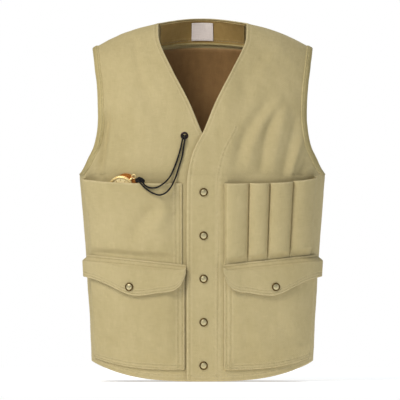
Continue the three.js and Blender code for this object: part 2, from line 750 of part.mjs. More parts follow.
const flapLift = POCKET_GAP + LOWER_POCKET_DEPTH + POCKET_CLOTH + FLAP_CLEARANCE;
const flapDrop = smoothThrough([
  [0, FLAP_DROP_SIDE * 0.4],
  [0.04, FLAP_DROP_SIDE * 0.85],
  [0.12, FLAP_DROP_SIDE * 1.25],
  [0.29, FLAP_DROP_MIDDLE * 0.86],
  [0.5, FLAP_DROP_MIDDLE],
  [0.62, FLAP_DROP_MIDDLE * 0.97],
  [0.77, FLAP_DROP_MIDDLE * 0.79],
  [0.9, FLAP_DROP_SIDE * 1.1],
  [1, FLAP_DROP_SIDE],
]);
const flapRows = [0, 0.4, 0.72, 0.86, 0.93, 1];
const flapShape = (innerX) => ({
  innerX,
  reach: POCKET_REACH + 0.005,
  bottom: (t) => seamHeight(t) - flapDrop(t),
  top: (t) => seamHeight(t) + FLAP_ABOVE_SEAM,
  standoff: (u, w) => {
    const below = (1 - w) * (FLAP_DROP_MIDDLE + FLAP_ABOVE_SEAM);
    return FLAP_ROOT - POCKET_GAP + (flapLift - FLAP_ROOT) * smoothstep(2, FLAP_SEAM_TO_POCKET - 1, below);
  },
});
const flapInnerX = { right: 30, left: 38 };
const flapSnapX = 130;
const flapSnapHeight = 172;
sides.forEach(([name, side]) => {
  const shape = flapShape(flapInnerX[name]);
  add(
    `${name}_flap`,
    pocketSheet(side, 12, flapRows, FLAP_CLOTH, shape),
    material(CANVAS_COLOR, 0.9),
  );
  addSnapTop(`${name}_flap`, side * flapSnapX, flapSnapHeight, flapLift, FLAP_CLOTH);
  const pocketFace = POCKET_GAP + LOWER_POCKET_DEPTH;
  addSnapBase(`${name}_flap`, side * flapSnapX, flapSnapHeight, pocketFace, POCKET_CLOTH);
});

// ---- Brass instrument in the chest pocket --------------------------------------------------------
// Its axis points straight out of the cloth behind it, and its crown towards the knot.

const instrumentFrame = frontFrame(INSTRUMENT_X, INSTRUMENT_HEIGHT, INSTRUMENT_STANDOFF);
const BRASS = material(0xd8b870, 0.3, 1);
const CASE_WALL = 2.0;
const INSTRUMENT_SIDES = 24;
const BEZEL = 1.6;
const DIAL = 0.8;
const LID = 1.2;
const LID_RADIUS = INSTRUMENT_RADIUS - 2.5;
const LID_SHIFT = [8.5, 6.5];
const CROWN_ANGLE = THREE.MathUtils.degToRad(43);

add(
  'instrument_case',
  turned(
    [
      [0, 0],
      [INSTRUMENT_RADIUS - 3, 0],
      [INSTRUMENT_RADIUS, 1.5],
      [INSTRUMENT_RADIUS, CASE_THICKNESS],
      [INSTRUMENT_RADIUS - CASE_WALL, CASE_THICKNESS],
      [INSTRUMENT_RADIUS - CASE_WALL, CASE_THICKNESS - 2],
      [0, CASE_THICKNESS - 2],
    ],
    INSTRUMENT_SIDES,
  ),
  BRASS,
  instrumentFrame,
);
const bezelLow = CASE_THICKNESS + METAL_GAP;
const bezelInner = INSTRUMENT_RADIUS - CASE_WALL - 2;
add(
  'instrument_bezel',
  turned(
    [
      [bezelInner, bezelLow],
      [INSTRUMENT_RADIUS, bezelLow],
      [INSTRUMENT_RADIUS - 1, bezelLow + BEZEL],
      [bezelInner + 0.5, bezelLow + BEZEL],
      [bezelInner, bezelLow],
    ],
    INSTRUMENT_SIDES,
  ),
  BRASS,
  instrumentFrame,
);
const dialLow = CASE_THICKNESS - 2 + METAL_GAP;
const dialRadius = INSTRUMENT_RADIUS - CASE_WALL - METAL_GAP;
add(
  'instrument_dial',
  turned(
    [
      [0, dialLow],
      [dialRadius, dialLow],
      [dialRadius, dialLow + DIAL],
      [0, dialLow + DIAL],
    ],
    INSTRUMENT_SIDES,
  ),
  material(0xe8dcc0, 0.5),
  instrumentFrame,
);

// A point of the instrument's own frame: right, up and out from the middle of its back.
function instrumentPoint(right, up, out) {
  return new THREE.Vector3(right, up, out)
    .applyQuaternion(instrumentFrame.quaternion)
    .add(instrumentFrame.position);
}
const atInstrument = (right, up, out) => ({
  position: instrumentPoint(right, up, out),
  quaternion: instrumentFrame.quaternion,
});

add(
  'instrument_lid',
  turned(
    [
      [0, -METAL_GAP - LID],
      [LID_RADIUS - 0.6, -METAL_GAP - LID],
      [LID_RADIUS, -METAL_GAP],
      [0, -METAL_GAP],
    ],
    INSTRUMENT_SIDES,
  ),
  material(0xc8823c, 0.35, 1),
  atInstrument(...LID_SHIFT, 0),
);

const CROWN_RADIUS = 2.4;
const CROWN_LENGTH = 4;
const crownMiddle = INSTRUMENT_RADIUS + METAL_GAP + CROWN_LENGTH / 2;
const crownDirection = [Math.cos(CROWN_ANGLE), Math.sin(CROWN_ANGLE)];
add(
  'instrument_crown',
  new THREE.CylinderGeometry(CROWN_RADIUS, CROWN_RADIUS, CROWN_LENGTH, 12)
    .rotateZ(CROWN_ANGLE - Math.PI / 2),
  BRASS,
  atInstrument(crownMiddle * crownDirection[0], crownMiddle * crownDirection[1], CASE_THICKNESS / 2),
);
const BOW_WIRE = 0.9;
const BOW_RADIUS = 3.6;
const bowMiddle = crownMiddle + CROWN_LENGTH / 2 + METAL_GAP + BOW_RADIUS + BOW_WIRE;
add(
  'instrument_bow',
  new THREE.TorusGeometry(BOW_RADIUS, BOW_WIRE, 6, 16),
  BRASS,
  atInstrument(bowMiddle * crownDirection[0], bowMiddle * crownDirection[1], CASE_THICKNESS / 2),
);

// ---- Lanyard ----------------------------------------------------------------------------------------
// One thin cord threaded through the eyelet and doubled, so two strands run down over the mouth of
// the chest pocket to the knot at the instrument's bow. Points are x, y and height above the hem.

const CORD_SIDES = 8;
const CORD_STEP = 6.5;
const CORD = material(0x0a0508, 0.8);
const knotMiddle = new THREE.Vector3(-114.9, -124.9, 368.4);

const strandOne = [
  [-34.8, -121.5, 448.4],
  [-34.9, -126.0, 448.2],
  [-35.8, -129.6, 444.5],
  [-37.2, -128.8, 438.0],
  [-39.4, -126.6, 428.0],
  [-41.6, -126.0, 419.4],
  [-46.1, -125.5, 404.6],
  [-52.0, -124.7, 389.0],
  [-58.0, -125.4, 375.5],
  [-64.0, -131.5, 367.5],
  [-71.0, -138.6, 360.8],
  [-83.3, -137.4, 353.6],
  [-96.0, -136.8, 353.0],
  [-105.0, -136.2, 357.5],
  [-110.2, -134.0, 364.2],
  [-113.2, -129.6, 366.6],
];
const strandTwo = [
  [-31.3, -121.5, 448.4],
  [-31.4, -126.0, 448.2],
  [-32.0, -129.4, 444.0],
  [-33.0, -128.8, 437.5],
  [-34.6, -126.6, 427.0],
  [-37.4, -125.9, 410.0],
  [-41.2, -125.5, 397.0],
  [-45.0, -125.0, 385.0],
  [-48.5, -125.6, 374.0],
  [-52.6, -131.0, 364.0],
  [-57.9, -136.4, 353.9],
  [-67.5, -138.0, 343.5],
  [-78.6, -137.4, 339.7],
  [-91.6, -136.6, 343.6],
  [-103.0, -136.2, 351.0],
  [-111.0, -136.4, 359.0],
  [-115.8, -134.0, 364.6],
  [-117.0, -130.0, 366.2],
];

function cordSolid(points) {
  const path = new THREE.CatmullRomCurve3(points.map((p) => new THREE.Vector3(...p)));
  const section = new THREE.Shape();
  for (let i = 0; i < CORD_SIDES; i += 1) {
    const angle = (2 * Math.PI * i) / CORD_SIDES;
    const corner = [CORD_RADIUS * Math.cos(angle), CORD_RADIUS * Math.sin(angle)];
    if (i === 0) section.moveTo(...corner);
    else section.lineTo(...corner);
  }
  const steps = Math.round(path.getLength() / CORD_STEP);
  return new THREE.ExtrudeGeometry(section, { steps, extrudePath: path, bevelEnabled: false });
}

add('lanyard_strand_1', cordSolid(strandOne), CORD);
add('lanyard_strand_2', cordSolid(strandTwo), CORD);
add(
  'lanyard_knot',
  new THREE.SphereGeometry(KNOT_RADIUS, 14, 8).scale(1, 0.85, 0.85).translate(...knotMiddle.toArray()),
  CORD,
);

export default vest;
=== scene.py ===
"""Fishing vest: khaki canvas, a lapped and snapped front, patch pockets with flaps, four sewn
tube pockets, and a brass instrument on a doubled black lanyard.

Cloth is worked out in millimetres with heights above the hem, on one body line that every layer
shares, and put into meshes in metres, with the origin between the shoulder seams' neck ends."""

import math

import bpy
import numpy as np
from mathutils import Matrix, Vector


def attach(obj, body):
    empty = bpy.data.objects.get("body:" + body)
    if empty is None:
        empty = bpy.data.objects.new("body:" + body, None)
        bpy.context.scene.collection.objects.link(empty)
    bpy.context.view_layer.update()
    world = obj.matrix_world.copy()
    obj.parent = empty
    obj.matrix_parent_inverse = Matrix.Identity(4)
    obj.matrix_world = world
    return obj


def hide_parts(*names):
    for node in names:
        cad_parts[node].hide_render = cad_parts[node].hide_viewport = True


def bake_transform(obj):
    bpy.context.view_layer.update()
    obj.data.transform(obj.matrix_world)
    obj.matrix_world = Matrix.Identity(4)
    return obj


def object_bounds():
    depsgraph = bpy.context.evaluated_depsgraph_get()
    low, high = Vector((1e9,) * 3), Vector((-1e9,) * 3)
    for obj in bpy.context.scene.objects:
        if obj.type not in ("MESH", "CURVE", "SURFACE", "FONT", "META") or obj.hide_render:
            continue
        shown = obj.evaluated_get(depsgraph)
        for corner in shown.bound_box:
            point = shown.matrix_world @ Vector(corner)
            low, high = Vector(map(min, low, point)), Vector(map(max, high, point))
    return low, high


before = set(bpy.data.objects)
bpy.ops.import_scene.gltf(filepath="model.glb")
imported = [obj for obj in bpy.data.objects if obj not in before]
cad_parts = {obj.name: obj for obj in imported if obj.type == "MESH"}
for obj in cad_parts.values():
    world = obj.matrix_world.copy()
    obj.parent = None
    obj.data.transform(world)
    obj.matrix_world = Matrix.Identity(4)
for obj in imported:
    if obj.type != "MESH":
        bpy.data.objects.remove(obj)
cad_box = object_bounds()

MM = 0.001
LENGTH = 655.0  # hem to the neck end of the shoulder seam
UNDERARM_HEIGHT = 377.0
CHEST_HEIGHT = 430.0
HALF_WIDTH_HEM = 203.0
HALF_WIDTH_UNDERARM = 225.0
FRONT_DEPTH_HEM = 112.0
FRONT_DEPTH_CHEST = 124.0
BACK_DEPTH_HEM = 92.0
BACK_DEPTH_CHEST = 104.0
BACK_DEPTH_NECK = 62.0
NECK_HALF_WIDTH = 82.0
SHOULDER_HALF_WIDTH = 201.0
SHOULDER_DROP = 46.0
SHOULDER_BOW = 6.0
NECK_RISE = 10.0
HEM_RISE = 36.0
V_BOTTOM = 454.0
CHEST_LEVEL = 0.62
CANVAS = 2.0
LINING = 1.2
SEAM_GAP = 0.4
POCKET_GAP = 1.2
LAP = 28.0
LAP_LIFT = 5.7
LAP_FADE = 40.0
BINDING_WIDTH = 9.0


# ---- Camera and light -------------------------------------------------------------------------

VIEW_WIDTH = 0.733  # metres of the vest's own plane that the picture's width takes in
VIEW_DISTANCE = 20.0
VIEW_X = -0.0046
VIEW_Z = -0.3244
SENSOR = 36.0
WORLD_LIGHT = 0.34


def add_camera():
    """A long lens, level and straight in front of the vest."""
    camera = bpy.data.cameras.new("camera")
    camera.sensor_width = SENSOR
    camera.lens = SENSOR * VIEW_DISTANCE / VIEW_WIDTH
    camera.clip_end = 60.0
    holder = bpy.data.objects.new("camera", camera)
    holder.location = (VIEW_X, -0.05 - VIEW_DISTANCE, VIEW_Z)
    holder.rotation_euler = (math.pi / 2, 0.0, 0.0)
    bpy.context.scene.collection.objects.link(holder)
    bpy.context.scene.camera = holder


def add_area_light(name, place, aim, width, power, colour):
    """A square soft box of the given width, turned from its place to its aim."""
    light = bpy.data.lights.new(name, "AREA")
    light.shape = "SQUARE"
    light.size = width
    light.energy = power
    light.color = colour
    holder = bpy.data.objects.new(name, light)
    direction = Vector(aim) - Vector(place)
    holder.location = place
    holder.rotation_euler = direction.to_track_quat("-Z", "Y").to_euler()
    bpy.context.scene.collection.objects.link(holder)


def add_world():
    """White to the camera, and a softer, slightly cool white as light."""
    world = bpy.data.worlds.new("studio")
    world.use_nodes = True
    nodes = world.node_tree.nodes
    links = world.node_tree.links
    nodes.clear()
    output = nodes.new("ShaderNodeOutputWorld")
    mix = nodes.new("ShaderNodeMixShader")
    path = nodes.new("ShaderNodeLightPath")
    lit = nodes.new("ShaderNodeBackground")
    seen = nodes.new("ShaderNodeBackground")
    lit.inputs["Color"].default_value = (0.90, 0.95, 1.0, 1.0)
    lit.inputs["Strength"].default_value = WORLD_LIGHT
    seen.inputs["Color"].default_value = (1.0, 1.0, 1.0, 1.0)
    seen.inputs["Strength"].default_value = 1.0
    links.new(path.outputs["Is Camera Ray"], mix.inputs["Fac"])
    links.new(lit.outputs["Background"], mix.inputs[1])
    links.new(seen.outputs["Background"], mix.inputs[2])
    links.new(mix.outputs["Shader"], output.inputs["Surface"])
    bpy.context.scene.world = world


WARM_WHITE = (1.0, 0.965, 0.91)
COOL_WHITE = (0.93, 0.96, 1.0)
# name, place, aim, width in metres, power in watts, colour
LIGHTS = [
    ("key_light", (-0.85, -1.25, 1.0), (0, 0, -0.2), 0.7, 26.0, WARM_WHITE),
    ("fill_light", (2.6, -2.4, 0.2), (0, 0, -0.35), 2.0, 7.0, COOL_WHITE),
    ("back_light", (0.9, 2.7, 1.2), (0, 0, -0.3), 1.8, 34.0, COOL_WHITE),
]


def add_studio():
    """Key light from the upper left in front, a weak fill from the right and one from behind."""
    add_world()
    for name, place, aim, width, power, colour in LIGHTS:
        add_area_light(name, place, aim, width, power, colour)
    bpy.context.scene.view_settings.view_transform = "Standard"


# ---- Numbers, curves and noise ----------------------------------------------------------------


def smooth(low, high, t):
    """0 below low, 1 above high, and the cubic 3k^2 - 2k^3 between them."""
    k = np.clip((np.asarray(t, float) - low) / (high - low), 0.0, 1.0)
    return k * k * (3.0 - 2.0 * k)


def lerp(a, b, t):
    return a + (b - a) * t


def through(points):
    """A smooth function through points: cubic Hermite pieces, with each point's slope taken from
    its two neighbours."""
    table = np.array(points, float)
    xs, ys = table[:, 0], table[:, 1]
    before = np.maximum(np.arange(len(xs)) - 1, 0)
    after = np.minimum(np.arange(len(xs)) + 1, len(xs) - 1)
    slope = (ys[after] - ys[before]) / (xs[after] - xs[before])

    def value(x):
        x = np.clip(np.asarray(x, float), xs[0], xs[-1])
        i = np.clip(np.searchsorted(xs, x, side="right") - 1, 0, len(xs) - 2)
        width = xs[i + 1] - xs[i]
        t = (x - xs[i]) / width
        rest = 1.0 - t
        start = (1.0 + 2.0 * t) * rest**2 * ys[i] + t * rest**2 * width * slope[i]
        end = t * t * (3.0 - 2.0 * t) * ys[i + 1] + t * t * (t - 1.0) * width * slope[i + 1]
        return start + end

    return value


def bezier(s, p0, p1, p2, p3):
    r = 1.0 - s
    return r**3 * p0 + 3.0 * r * r * s * p1 + 3.0 * r * s * s * p2 + s**3 * p3


def waves(points, lengths, seed):
    """Smooth noise from -1 to 1: the mean of nine sines in seeded directions, with the given wave
    length along each axis."""
    source = np.random.default_rng(seed)
    turns = source.normal(0.0, 1.0, (9, 3))
    turns = turns / np.linalg.norm(turns, axis=1)[:, None] * source.uniform(0.6, 1.5, (9, 1))
    phases = source.uniform(0.0, 2.0 * np.pi, 9)
    scaled = points * (2.0 * np.pi / np.array(lengths))
    return np.sin(scaled @ turns.T + phases).sum(axis=-1) / 4.5


def crease(x, z, route, height, width, taper=0.22):
    """A fold along a route: height times a bell of the distance to the route, running out over
    the taper's share at both ends. width is one number or (low side, high side) in x."""
    route = np.array(route, float)
    steps = np.linalg.norm(np.diff(route, axis=0), axis=1)
    starts = np.concatenate(([0.0], np.cumsum(steps)[:-1]))
    nearest = np.full(np.shape(x), 1e9)
    along = np.zeros(np.shape(x))
    side = np.zeros(np.shape(x))
    for a, b, step, start in zip(route[:-1], route[1:], steps, starts):
        direction = (b - a) / step
        reach = np.clip((x - a[0]) * direction[0] + (z - a[1]) * direction[1], 0.0, step)
        dx = x - a[0] - reach * direction[0]
        dz = z - a[1] - reach * direction[1]
        distance = np.hypot(dx, dz)
        closer = distance < nearest
        nearest = np.where(closer, distance, nearest)
        along = np.where(closer, (start + reach) / steps.sum(), along)
        side = np.where(closer, dx, side)
    low, high = width if isinstance(width, tuple) else (width, width)
    spread = np.where(side < 0.0, low, high)
    ends = smooth(0.0, taper, along) * smooth(0.0, taper, 1.0 - along)
    return height * np.exp(-((nearest / spread) ** 2)) * ends


# ---- The body line ----------------------------------------------------------------------------
# Girth q runs from -1 at the right side seam through 0 at the middle to 1 at the left side seam,
# and level v from 0 at the hem to 1 at the shoulder seam.

SHOULDER_SLOPE = SHOULDER_DROP / (SHOULDER_HALF_WIDTH - NECK_HALF_WIDTH)
SECTION_STEPS = np.linspace(0.0, 1.0, 4001)
SECTION_SHARE = bezier(SECTION_STEPS, 0.0, 0.8, 1.0, 1.0)


def level_angle(v):
    return np.clip((v - CHEST_LEVEL) / (1.0 - CHEST_LEVEL), 0.0, 1.0) * np.pi / 2


def half_width(v):
    t = np.clip(v / (CHEST_LEVEL * UNDERARM_HEIGHT / CHEST_HEIGHT), 0.0, 1.0)
    return lerp(HALF_WIDTH_HEM, HALF_WIDTH_UNDERARM, t**1.4)


def neck_shape(x):
    return (1.0 - np.clip(np.abs(x) / (NECK_HALF_WIDTH * 1.08), 0.0, 1.0) ** 2) ** 1.25


def height_at(v, x, back):
    """Height of level v at x: flat rings up to the chest, then a quarter sine up to the shoulder,
    tilted down along its slope, with a risen back neck and hem ends."""
    above = CHEST_HEIGHT + (LENGTH - CHEST_HEIGHT) * np.sin(level_angle(v))
    level = np.where(v <= CHEST_LEVEL, v / CHEST_LEVEL * CHEST_HEIGHT, above)
    beyond = np.maximum(0.0, np.abs(x) - NECK_HALF_WIDTH)
    share = np.clip(beyond / (SHOULDER_HALF_WIDTH - NECK_HALF_WIDTH), 0.0, 1.0)
    drop = SHOULDER_SLOPE * beyond - SHOULDER_BOW * np.sin(np.pi * share)
    rise = NECK_RISE * neck_shape(x) * np.sin(level_angle(v)) ** 4 if back else 0.0
    hem = HEM_RISE * (np.abs(x) / HALF_WIDTH_HEM) ** 3 * (1.0 - smooth(0.0, 0.3, v))
    return level - smooth(CHEST_LEVEL, 1.0, v) * drop + rise + hem


def depth_at(v, x, back):
    fall = np.maximum(np.cos(level_angle(v)), 0.0) ** 1.25
    up = smooth(0.45, 1.0, v / CHEST_LEVEL)
    if not back:
        return lerp(FRONT_DEPTH_HEM, FRONT_DEPTH_CHEST, up) * fall
    chest = lerp(BACK_DEPTH_HEM, BACK_DEPTH_CHEST, up)
    return lerp(chest * fall, lerp(chest, BACK_DEPTH_NECK, 1.0 - fall), neck_shape(x))


def section_x(q):
    return np.sign(q) * bezier(np.abs(q), 0.0, 0.8, 1.0, 1.0)


def body_point(q, v, back):
    """x is the level's half width times the section's own curve, and depth falls from the middle
    to nothing at the side seams by a second curve."""
    x = half_width(v) * section_x(q)
    depth = depth_at(v, x, back) * bezier(np.abs(q), 1.0, 1.0, 0.75, 0.0) + SEAM_GAP
    y = depth if back else -depth
    return np.stack(np.broadcast_arrays(x, y, height_at(v, x, back)), axis=-1)


def unit(vectors):
    return vectors / np.maximum(np.linalg.norm(vectors, axis=-1, keepdims=True), 1e-9)


def body_normal(q, v, back):
    step = 0.004
    q0, q1 = np.maximum(-1.0, q - step), np.minimum(1.0, q + step)
    v0, v1 = np.maximum(0.0, v - step), np.minimum(1.0, v + step)
    across = body_point(q1, v, back) - body_point(q0, v, back)
    up = body_point(q, v1, back) - body_point(q, v0, back)
    return unit(np.cross(across, up)) * (-1.0 if back else 1.0)


def offset_point(q, v, back, offset):
    q, v, offset = np.broadcast_arrays(q, v, offset)
    return body_point(q, v, back) + body_normal(q, v, back) * offset[..., None]


def girth_of(x, v):
    """Girth coordinate of the point at x on level v."""
    share = np.minimum(np.abs(x) / half_width(v), 0.9999)
    return np.sign(x) * np.interp(share, SECTION_SHARE, SECTION_STEPS)


def level_of(x, z, back=False):
    """Level at x and height z, by halving."""
    x, z = np.broadcast_arrays(np.asarray(x, float), np.asarray(z, float))
    low, high = np.zeros(x.shape), np.ones(x.shape)
    for _ in range(32):
        middle = (low + high) / 2
        under = height_at(middle, x, back) < z
        low = np.where(under, middle, low)
        high = np.where(under, high, middle)
    return (low + high) / 2


front_edge = through(
    [
        (0, LAP), (V_BOTTOM - 104, LAP), (V_BOTTOM - 68, LAP - 3), (V_BOTTOM - 31, LAP - 13),
        (V_BOTTOM, -1.5), (V_BOTTOM + 56, -25), (V_BOTTOM + 116, -56),
        (LENGTH - 34, NECK_HALF_WIDTH * -0.965), (LENGTH, -NECK_HALF_WIDTH),
    ]
)
SHOULDER_TIP = LENGTH - SHOULDER_DROP
armhole_edge = through(
    [
        (UNDERARM_HEIGHT, HALF_WIDTH_UNDERARM), (UNDERARM_HEIGHT + 12, HALF_WIDTH_UNDERARM - 9),
        (UNDERARM_HEIGHT + 28, SHOULDER_HALF_WIDTH + 7),
        (UNDERARM_HEIGHT + 53, SHOULDER_HALF_WIDTH - 4),
        (UNDERARM_HEIGHT + 88, SHOULDER_HALF_WIDTH - 10),
        (UNDERARM_HEIGHT + 118, SHOULDER_HALF_WIDTH - 11),
        (SHOULDER_TIP - 69, SHOULDER_HALF_WIDTH - 9),
        (SHOULDER_TIP - 32, SHOULDER_HALF_WIDTH - 4), (SHOULDER_TIP, SHOULDER_HALF_WIDTH),
    ]
)
UNDERARM_LEVEL = float(level_of(HALF_WIDTH_UNDERARM, UNDERARM_HEIGHT))


def armhole_girth(v, back, margin=0.0):
    """Girth of the armhole's edge, or of the side seam below it, moved in by a margin."""
    x = np.full(np.shape(v), SHOULDER_HALF_WIDTH)
    for _ in range(16):
        x = armhole_edge(height_at(v, x, back))
    below = 1.0 - margin / HALF_WIDTH_UNDERARM
    return np.where(v <= UNDERARM_LEVEL + 1e-6, below, girth_of(x - margin, v))


def front_girth(v, side, margin=0.0):
    """Girth of a front's inner edge, moved in by a margin; side is 1 for the wearer's left."""
    x = np.full(np.shape(v), LAP)
    for _ in range(8):
        x = front_edge(height_at(v, -side * x, False))
    return girth_of(-side * (x - margin), v)


def lap_lift(x, side):
    """How far the over layer stands off the body line, fading out beside the lap."""
    if side < 0:
        return np.zeros(np.shape(x))
    return LAP_LIFT * (1.0 - smooth(LAP + 12.0, LAP + 12.0 + LAP_FADE, x))


def to_metres(points):
    return (points - np.array([0.0, 0.0, LENGTH])) * MM


# ---- Meshes -----------------------------------------------------------------------------------


def build(name, points, faces, uvs=None, values=None):
    """A smooth-shaded mesh object. faces is a list of (n, 3) or (n, 4) index arrays, uvs the
    matching list of (n, 3 or 4, 2) arrays, and values a dict of one number per point."""
    mesh = bpy.data.meshes.new(name)
    counts = np.concatenate([np.full(len(f), f.shape[1]) for f in faces])
    corners = np.concatenate([f.ravel() for f in faces]).astype(np.int32)
    mesh.vertices.add(len(points))
    mesh.vertices.foreach_set("co", np.ascontiguousarray(points, np.float32).ravel())
    mesh.loops.add(len(corners))
    mesh.loops.foreach_set("vertex_index", corners)
    mesh.polygons.add(len(counts))
    mesh.polygons.foreach_set("loop_start", (np.cumsum(counts) - counts).astype(np.int32))
    mesh.polygons.foreach_set("use_smooth", np.ones(len(counts), bool))
    if uvs is not None:
        layer = mesh.uv_layers.new(name="UVMap")
        flat = np.concatenate([u.reshape(-1, 2) for u in uvs]).astype(np.float32)
        layer.data.foreach_set("uv", flat.ravel())
    for key, numbers in (values or {}).items():
        attribute = mesh.attributes.new(key, "FLOAT", "POINT")
        attribute.data.foreach_set("value", np.asarray(numbers, np.float32).ravel())
    mesh.update(calc_edges=True)
    mesh.validate()
    piece = bpy.data.objects.new(name, mesh)
    bpy.context.scene.collection.objects.link(piece)
    return piece


def grid_quads(rows, columns):
    """Quads of a rows by columns grid of points, turning from column to row."""
    index = np.arange(rows * columns).reshape(rows, columns)
    low, high = index[:-1], index[1:]
    quads = np.stack([low[:, :-1], low[:, 1:], high[:, 1:], high[:, :-1]], axis=-1)
    return quads.reshape(-1, 4)


def ring_quads(low, high, sides):
    """Quads between two rings of points that start at the indices low and high."""
    k = np.arange(sides)
    after = (k + 1) % sides
    return np.stack([low + k, low + after, high + after, high + k], axis=-1)


def pole_corners(top, first, sides):
    """Triangles that close a run of rings on two poles: first, below the ring that starts at
    index 0, and first + 1, above the ring that starts at top."""
    k = np.arange(sides)
    after = (k + 1) % sides
    start = np.stack([after, k, np.full(sides, first)], axis=-1)
    end = np.stack([top + k, top + after, np.full(sides, first + 1)], axis=-1)
    return np.concatenate([start, end])


def rim_loop(rows, columns):
    """Indices once around the outside of a grid of points."""
    index = np.arange(rows * columns).reshape(rows, columns)
    return np.concatenate([index[0, :-1], index[:-1, -1], index[-1, :0:-1], index[:0:-1, 0]])


def volume(points, faces):
    """Signed volume of closed faces: a sixth of the sum of corner triple products."""
    total = 0.0
    for f in faces:
        for k in range(1, f.shape[1] - 1):
            a, b, c = points[f[:, 0]], points[f[:, k]], points[f[:, k + 1]]
            total += np.einsum("ij,ij->i", a, np.cross(b, c)).sum()
    return total / 6.0


def face_outwards(points, faces, uvs=()):
    if volume(points, faces) >= 0.0:
        return faces, uvs
    return [f[:, ::-1] for f in faces], [u[:, ::-1] for u in uvs]


def cloth_shell(name, outer, inner, uv, values, roll=0.42):
    """A closed cloth from its two skins, grids of points in millimetres. The rim is one extra
    loop halfway between the skins, pushed out of the cloth by the roll's share of its thickness,
    so every edge is rounded as a folded hem is."""
    rows, columns = outer.shape[:2]
    count = rows * columns
    loop = rim_loop(rows, columns)
    middle = (outer + inner) / 2
    inward = np.empty_like(middle)
    inward[:, :] = middle
    inward[0], inward[-1] = middle[1], middle[-2]
    inward[:, 0], inward[:, -1] = middle[:, 1], middle[:, -2]
    away = unit(middle - inward).reshape(-1, 3)[loop]
    thick = np.linalg.norm(outer - inner, axis=-1).reshape(-1)[loop]
    rim = middle.reshape(-1, 3)[loop] + away * (thick * roll)[:, None]
    points = np.concatenate([outer.reshape(-1, 3), inner.reshape(-1, 3), rim])
    quads = grid_quads(rows, columns)
    k = np.arange(len(loop))
    after = np.roll(k, -1)
    low, high = loop, loop[after]
    upper = np.stack([high, low, 2 * count + k, 2 * count + after], axis=-1)
    lower = np.stack([low + count, high + count, 2 * count + after, 2 * count + k], axis=-1)
    faces = [np.concatenate([quads, quads[:, ::-1] + count, upper, lower])]
    flat = uv.reshape(-1, 2)
    point_uv = np.concatenate([flat, flat, flat[loop]])
    uvs = [point_uv[f] for f in faces]
    faces, uvs = face_outwards(points, faces, uvs)
    shared = {}
    for key, numbers in values.items():
        flat_numbers = np.asarray(numbers, float).reshape(-1)
        shared[key] = np.concatenate([flat_numbers, flat_numbers, flat_numbers[loop]])
    return build(name, to_metres(points), faces, uvs, shared)


def skin_points(surface, s, t, extra=0.0):
    """Points of a cloth's outer face; a surface gives (girth, level, back, outer offset)."""
    q, v, back, offset = surface(s, t)
    return offset_point(q, v, back, offset + extra)


def skin_normal(surface, s, t):
    """Outward direction of a surface with its folds, from its neighbours on both sides."""
    step = 0.004
    s0, s1 = np.maximum(s - step, 0.0), np.minimum(s + step, 1.0)
    t0, t1 = np.maximum(t - step, 0.0), np.minimum(t + step, 1.0)
    across = skin_points(surface, s1, t) - skin_points(surface, s0, t)
    up = skin_points(surface, s, t1) - skin_points(surface, s, t0)
    normal = unit(np.cross(across, up))
    q, v, back, _ = surface(s, t)
    outward = body_normal(q, v, back)
    sign = np.sign(np.sum(normal * outward, axis=-1, keepdims=True))
    return normal * np.where(sign == 0.0, 1.0, sign)


def running_length(points, axis):
    steps = np.linalg.norm(np.diff(points, axis=axis), axis=-1)
    zero = np.zeros_like(np.take(steps, [0], axis=axis))
    return np.concatenate([zero, np.cumsum(steps, axis=axis)], axis=axis)


FAR = 60.0


def sewn_cloth(name, surface, columns, rows, thickness, lines, edges):
    """A cloth over a surface, with its seam lines as a distance on every point.

    columns and rows are rising values from 0 to 1. Each line is a function of rows giving the
    column it crosses, as ("s", function), or of columns giving the row, as ("t", function), and
    it gives nan where there is no seam. The edge value is the distance to the nearest of the edges
    a (s = 0), b (s = 1), c (t = 0) and d (t = 1)."""
    s, t = np.meshgrid(columns, rows)
    outer = skin_points(surface, s, t)
    inner = skin_points(surface, s, t, -thickness)
    across, up = running_length(outer, 1), running_length(outer, 0)
    width, height = across[:, -1:], up[-1:, :]
    seam = np.full(s.shape, FAR)
    for kind, line in lines:
        gap = (s - line(t)) * width if kind == "s" else (t - line(s)) * height
        seam = np.fmin(seam, np.abs(gap))
    ends = {"a": across, "b": width - across, "c": up, "d": height - up}
    edge = np.minimum.reduce([ends[key] for key in edges])
    middle = outer.shape[1] // 2
    uv = np.stack([across - across[:, middle : middle + 1], np.broadcast_to(up, s.shape)], axis=-1)
    values = {"seam": seam * MM, "edge": edge * MM}
    piece = cloth_shell(name, outer, inner, uv * MM, values)
    piece["cut_area"] = float(area_of(outer)) * MM * MM
    piece["cut_width"] = float(width.max()) * MM
    piece["cut_length"] = float(height.max()) * MM
    return piece


def area_of(points):
    """Area of a grid of points: half the cross product of each cell's diagonals."""
    one = points[1:, 1:] - points[:-1, :-1]
    two = points[1:, :-1] - points[:-1, 1:]
    return np.linalg.norm(np.cross(one, two), axis=-1).sum() / 2


def share_line(value):
    """A line at one fixed column or row."""
    return lambda other: np.full(np.shape(other), float(value))


# ---- Stitches ---------------------------------------------------------------------------------

STITCH_PITCH = 3.1
STITCH_LENGTH = 2.3
STITCH_WIDTH = 0.42
STITCH_HEIGHT = 0.34
STITCH_RINGS = 3
STITCH_SIDES = 6


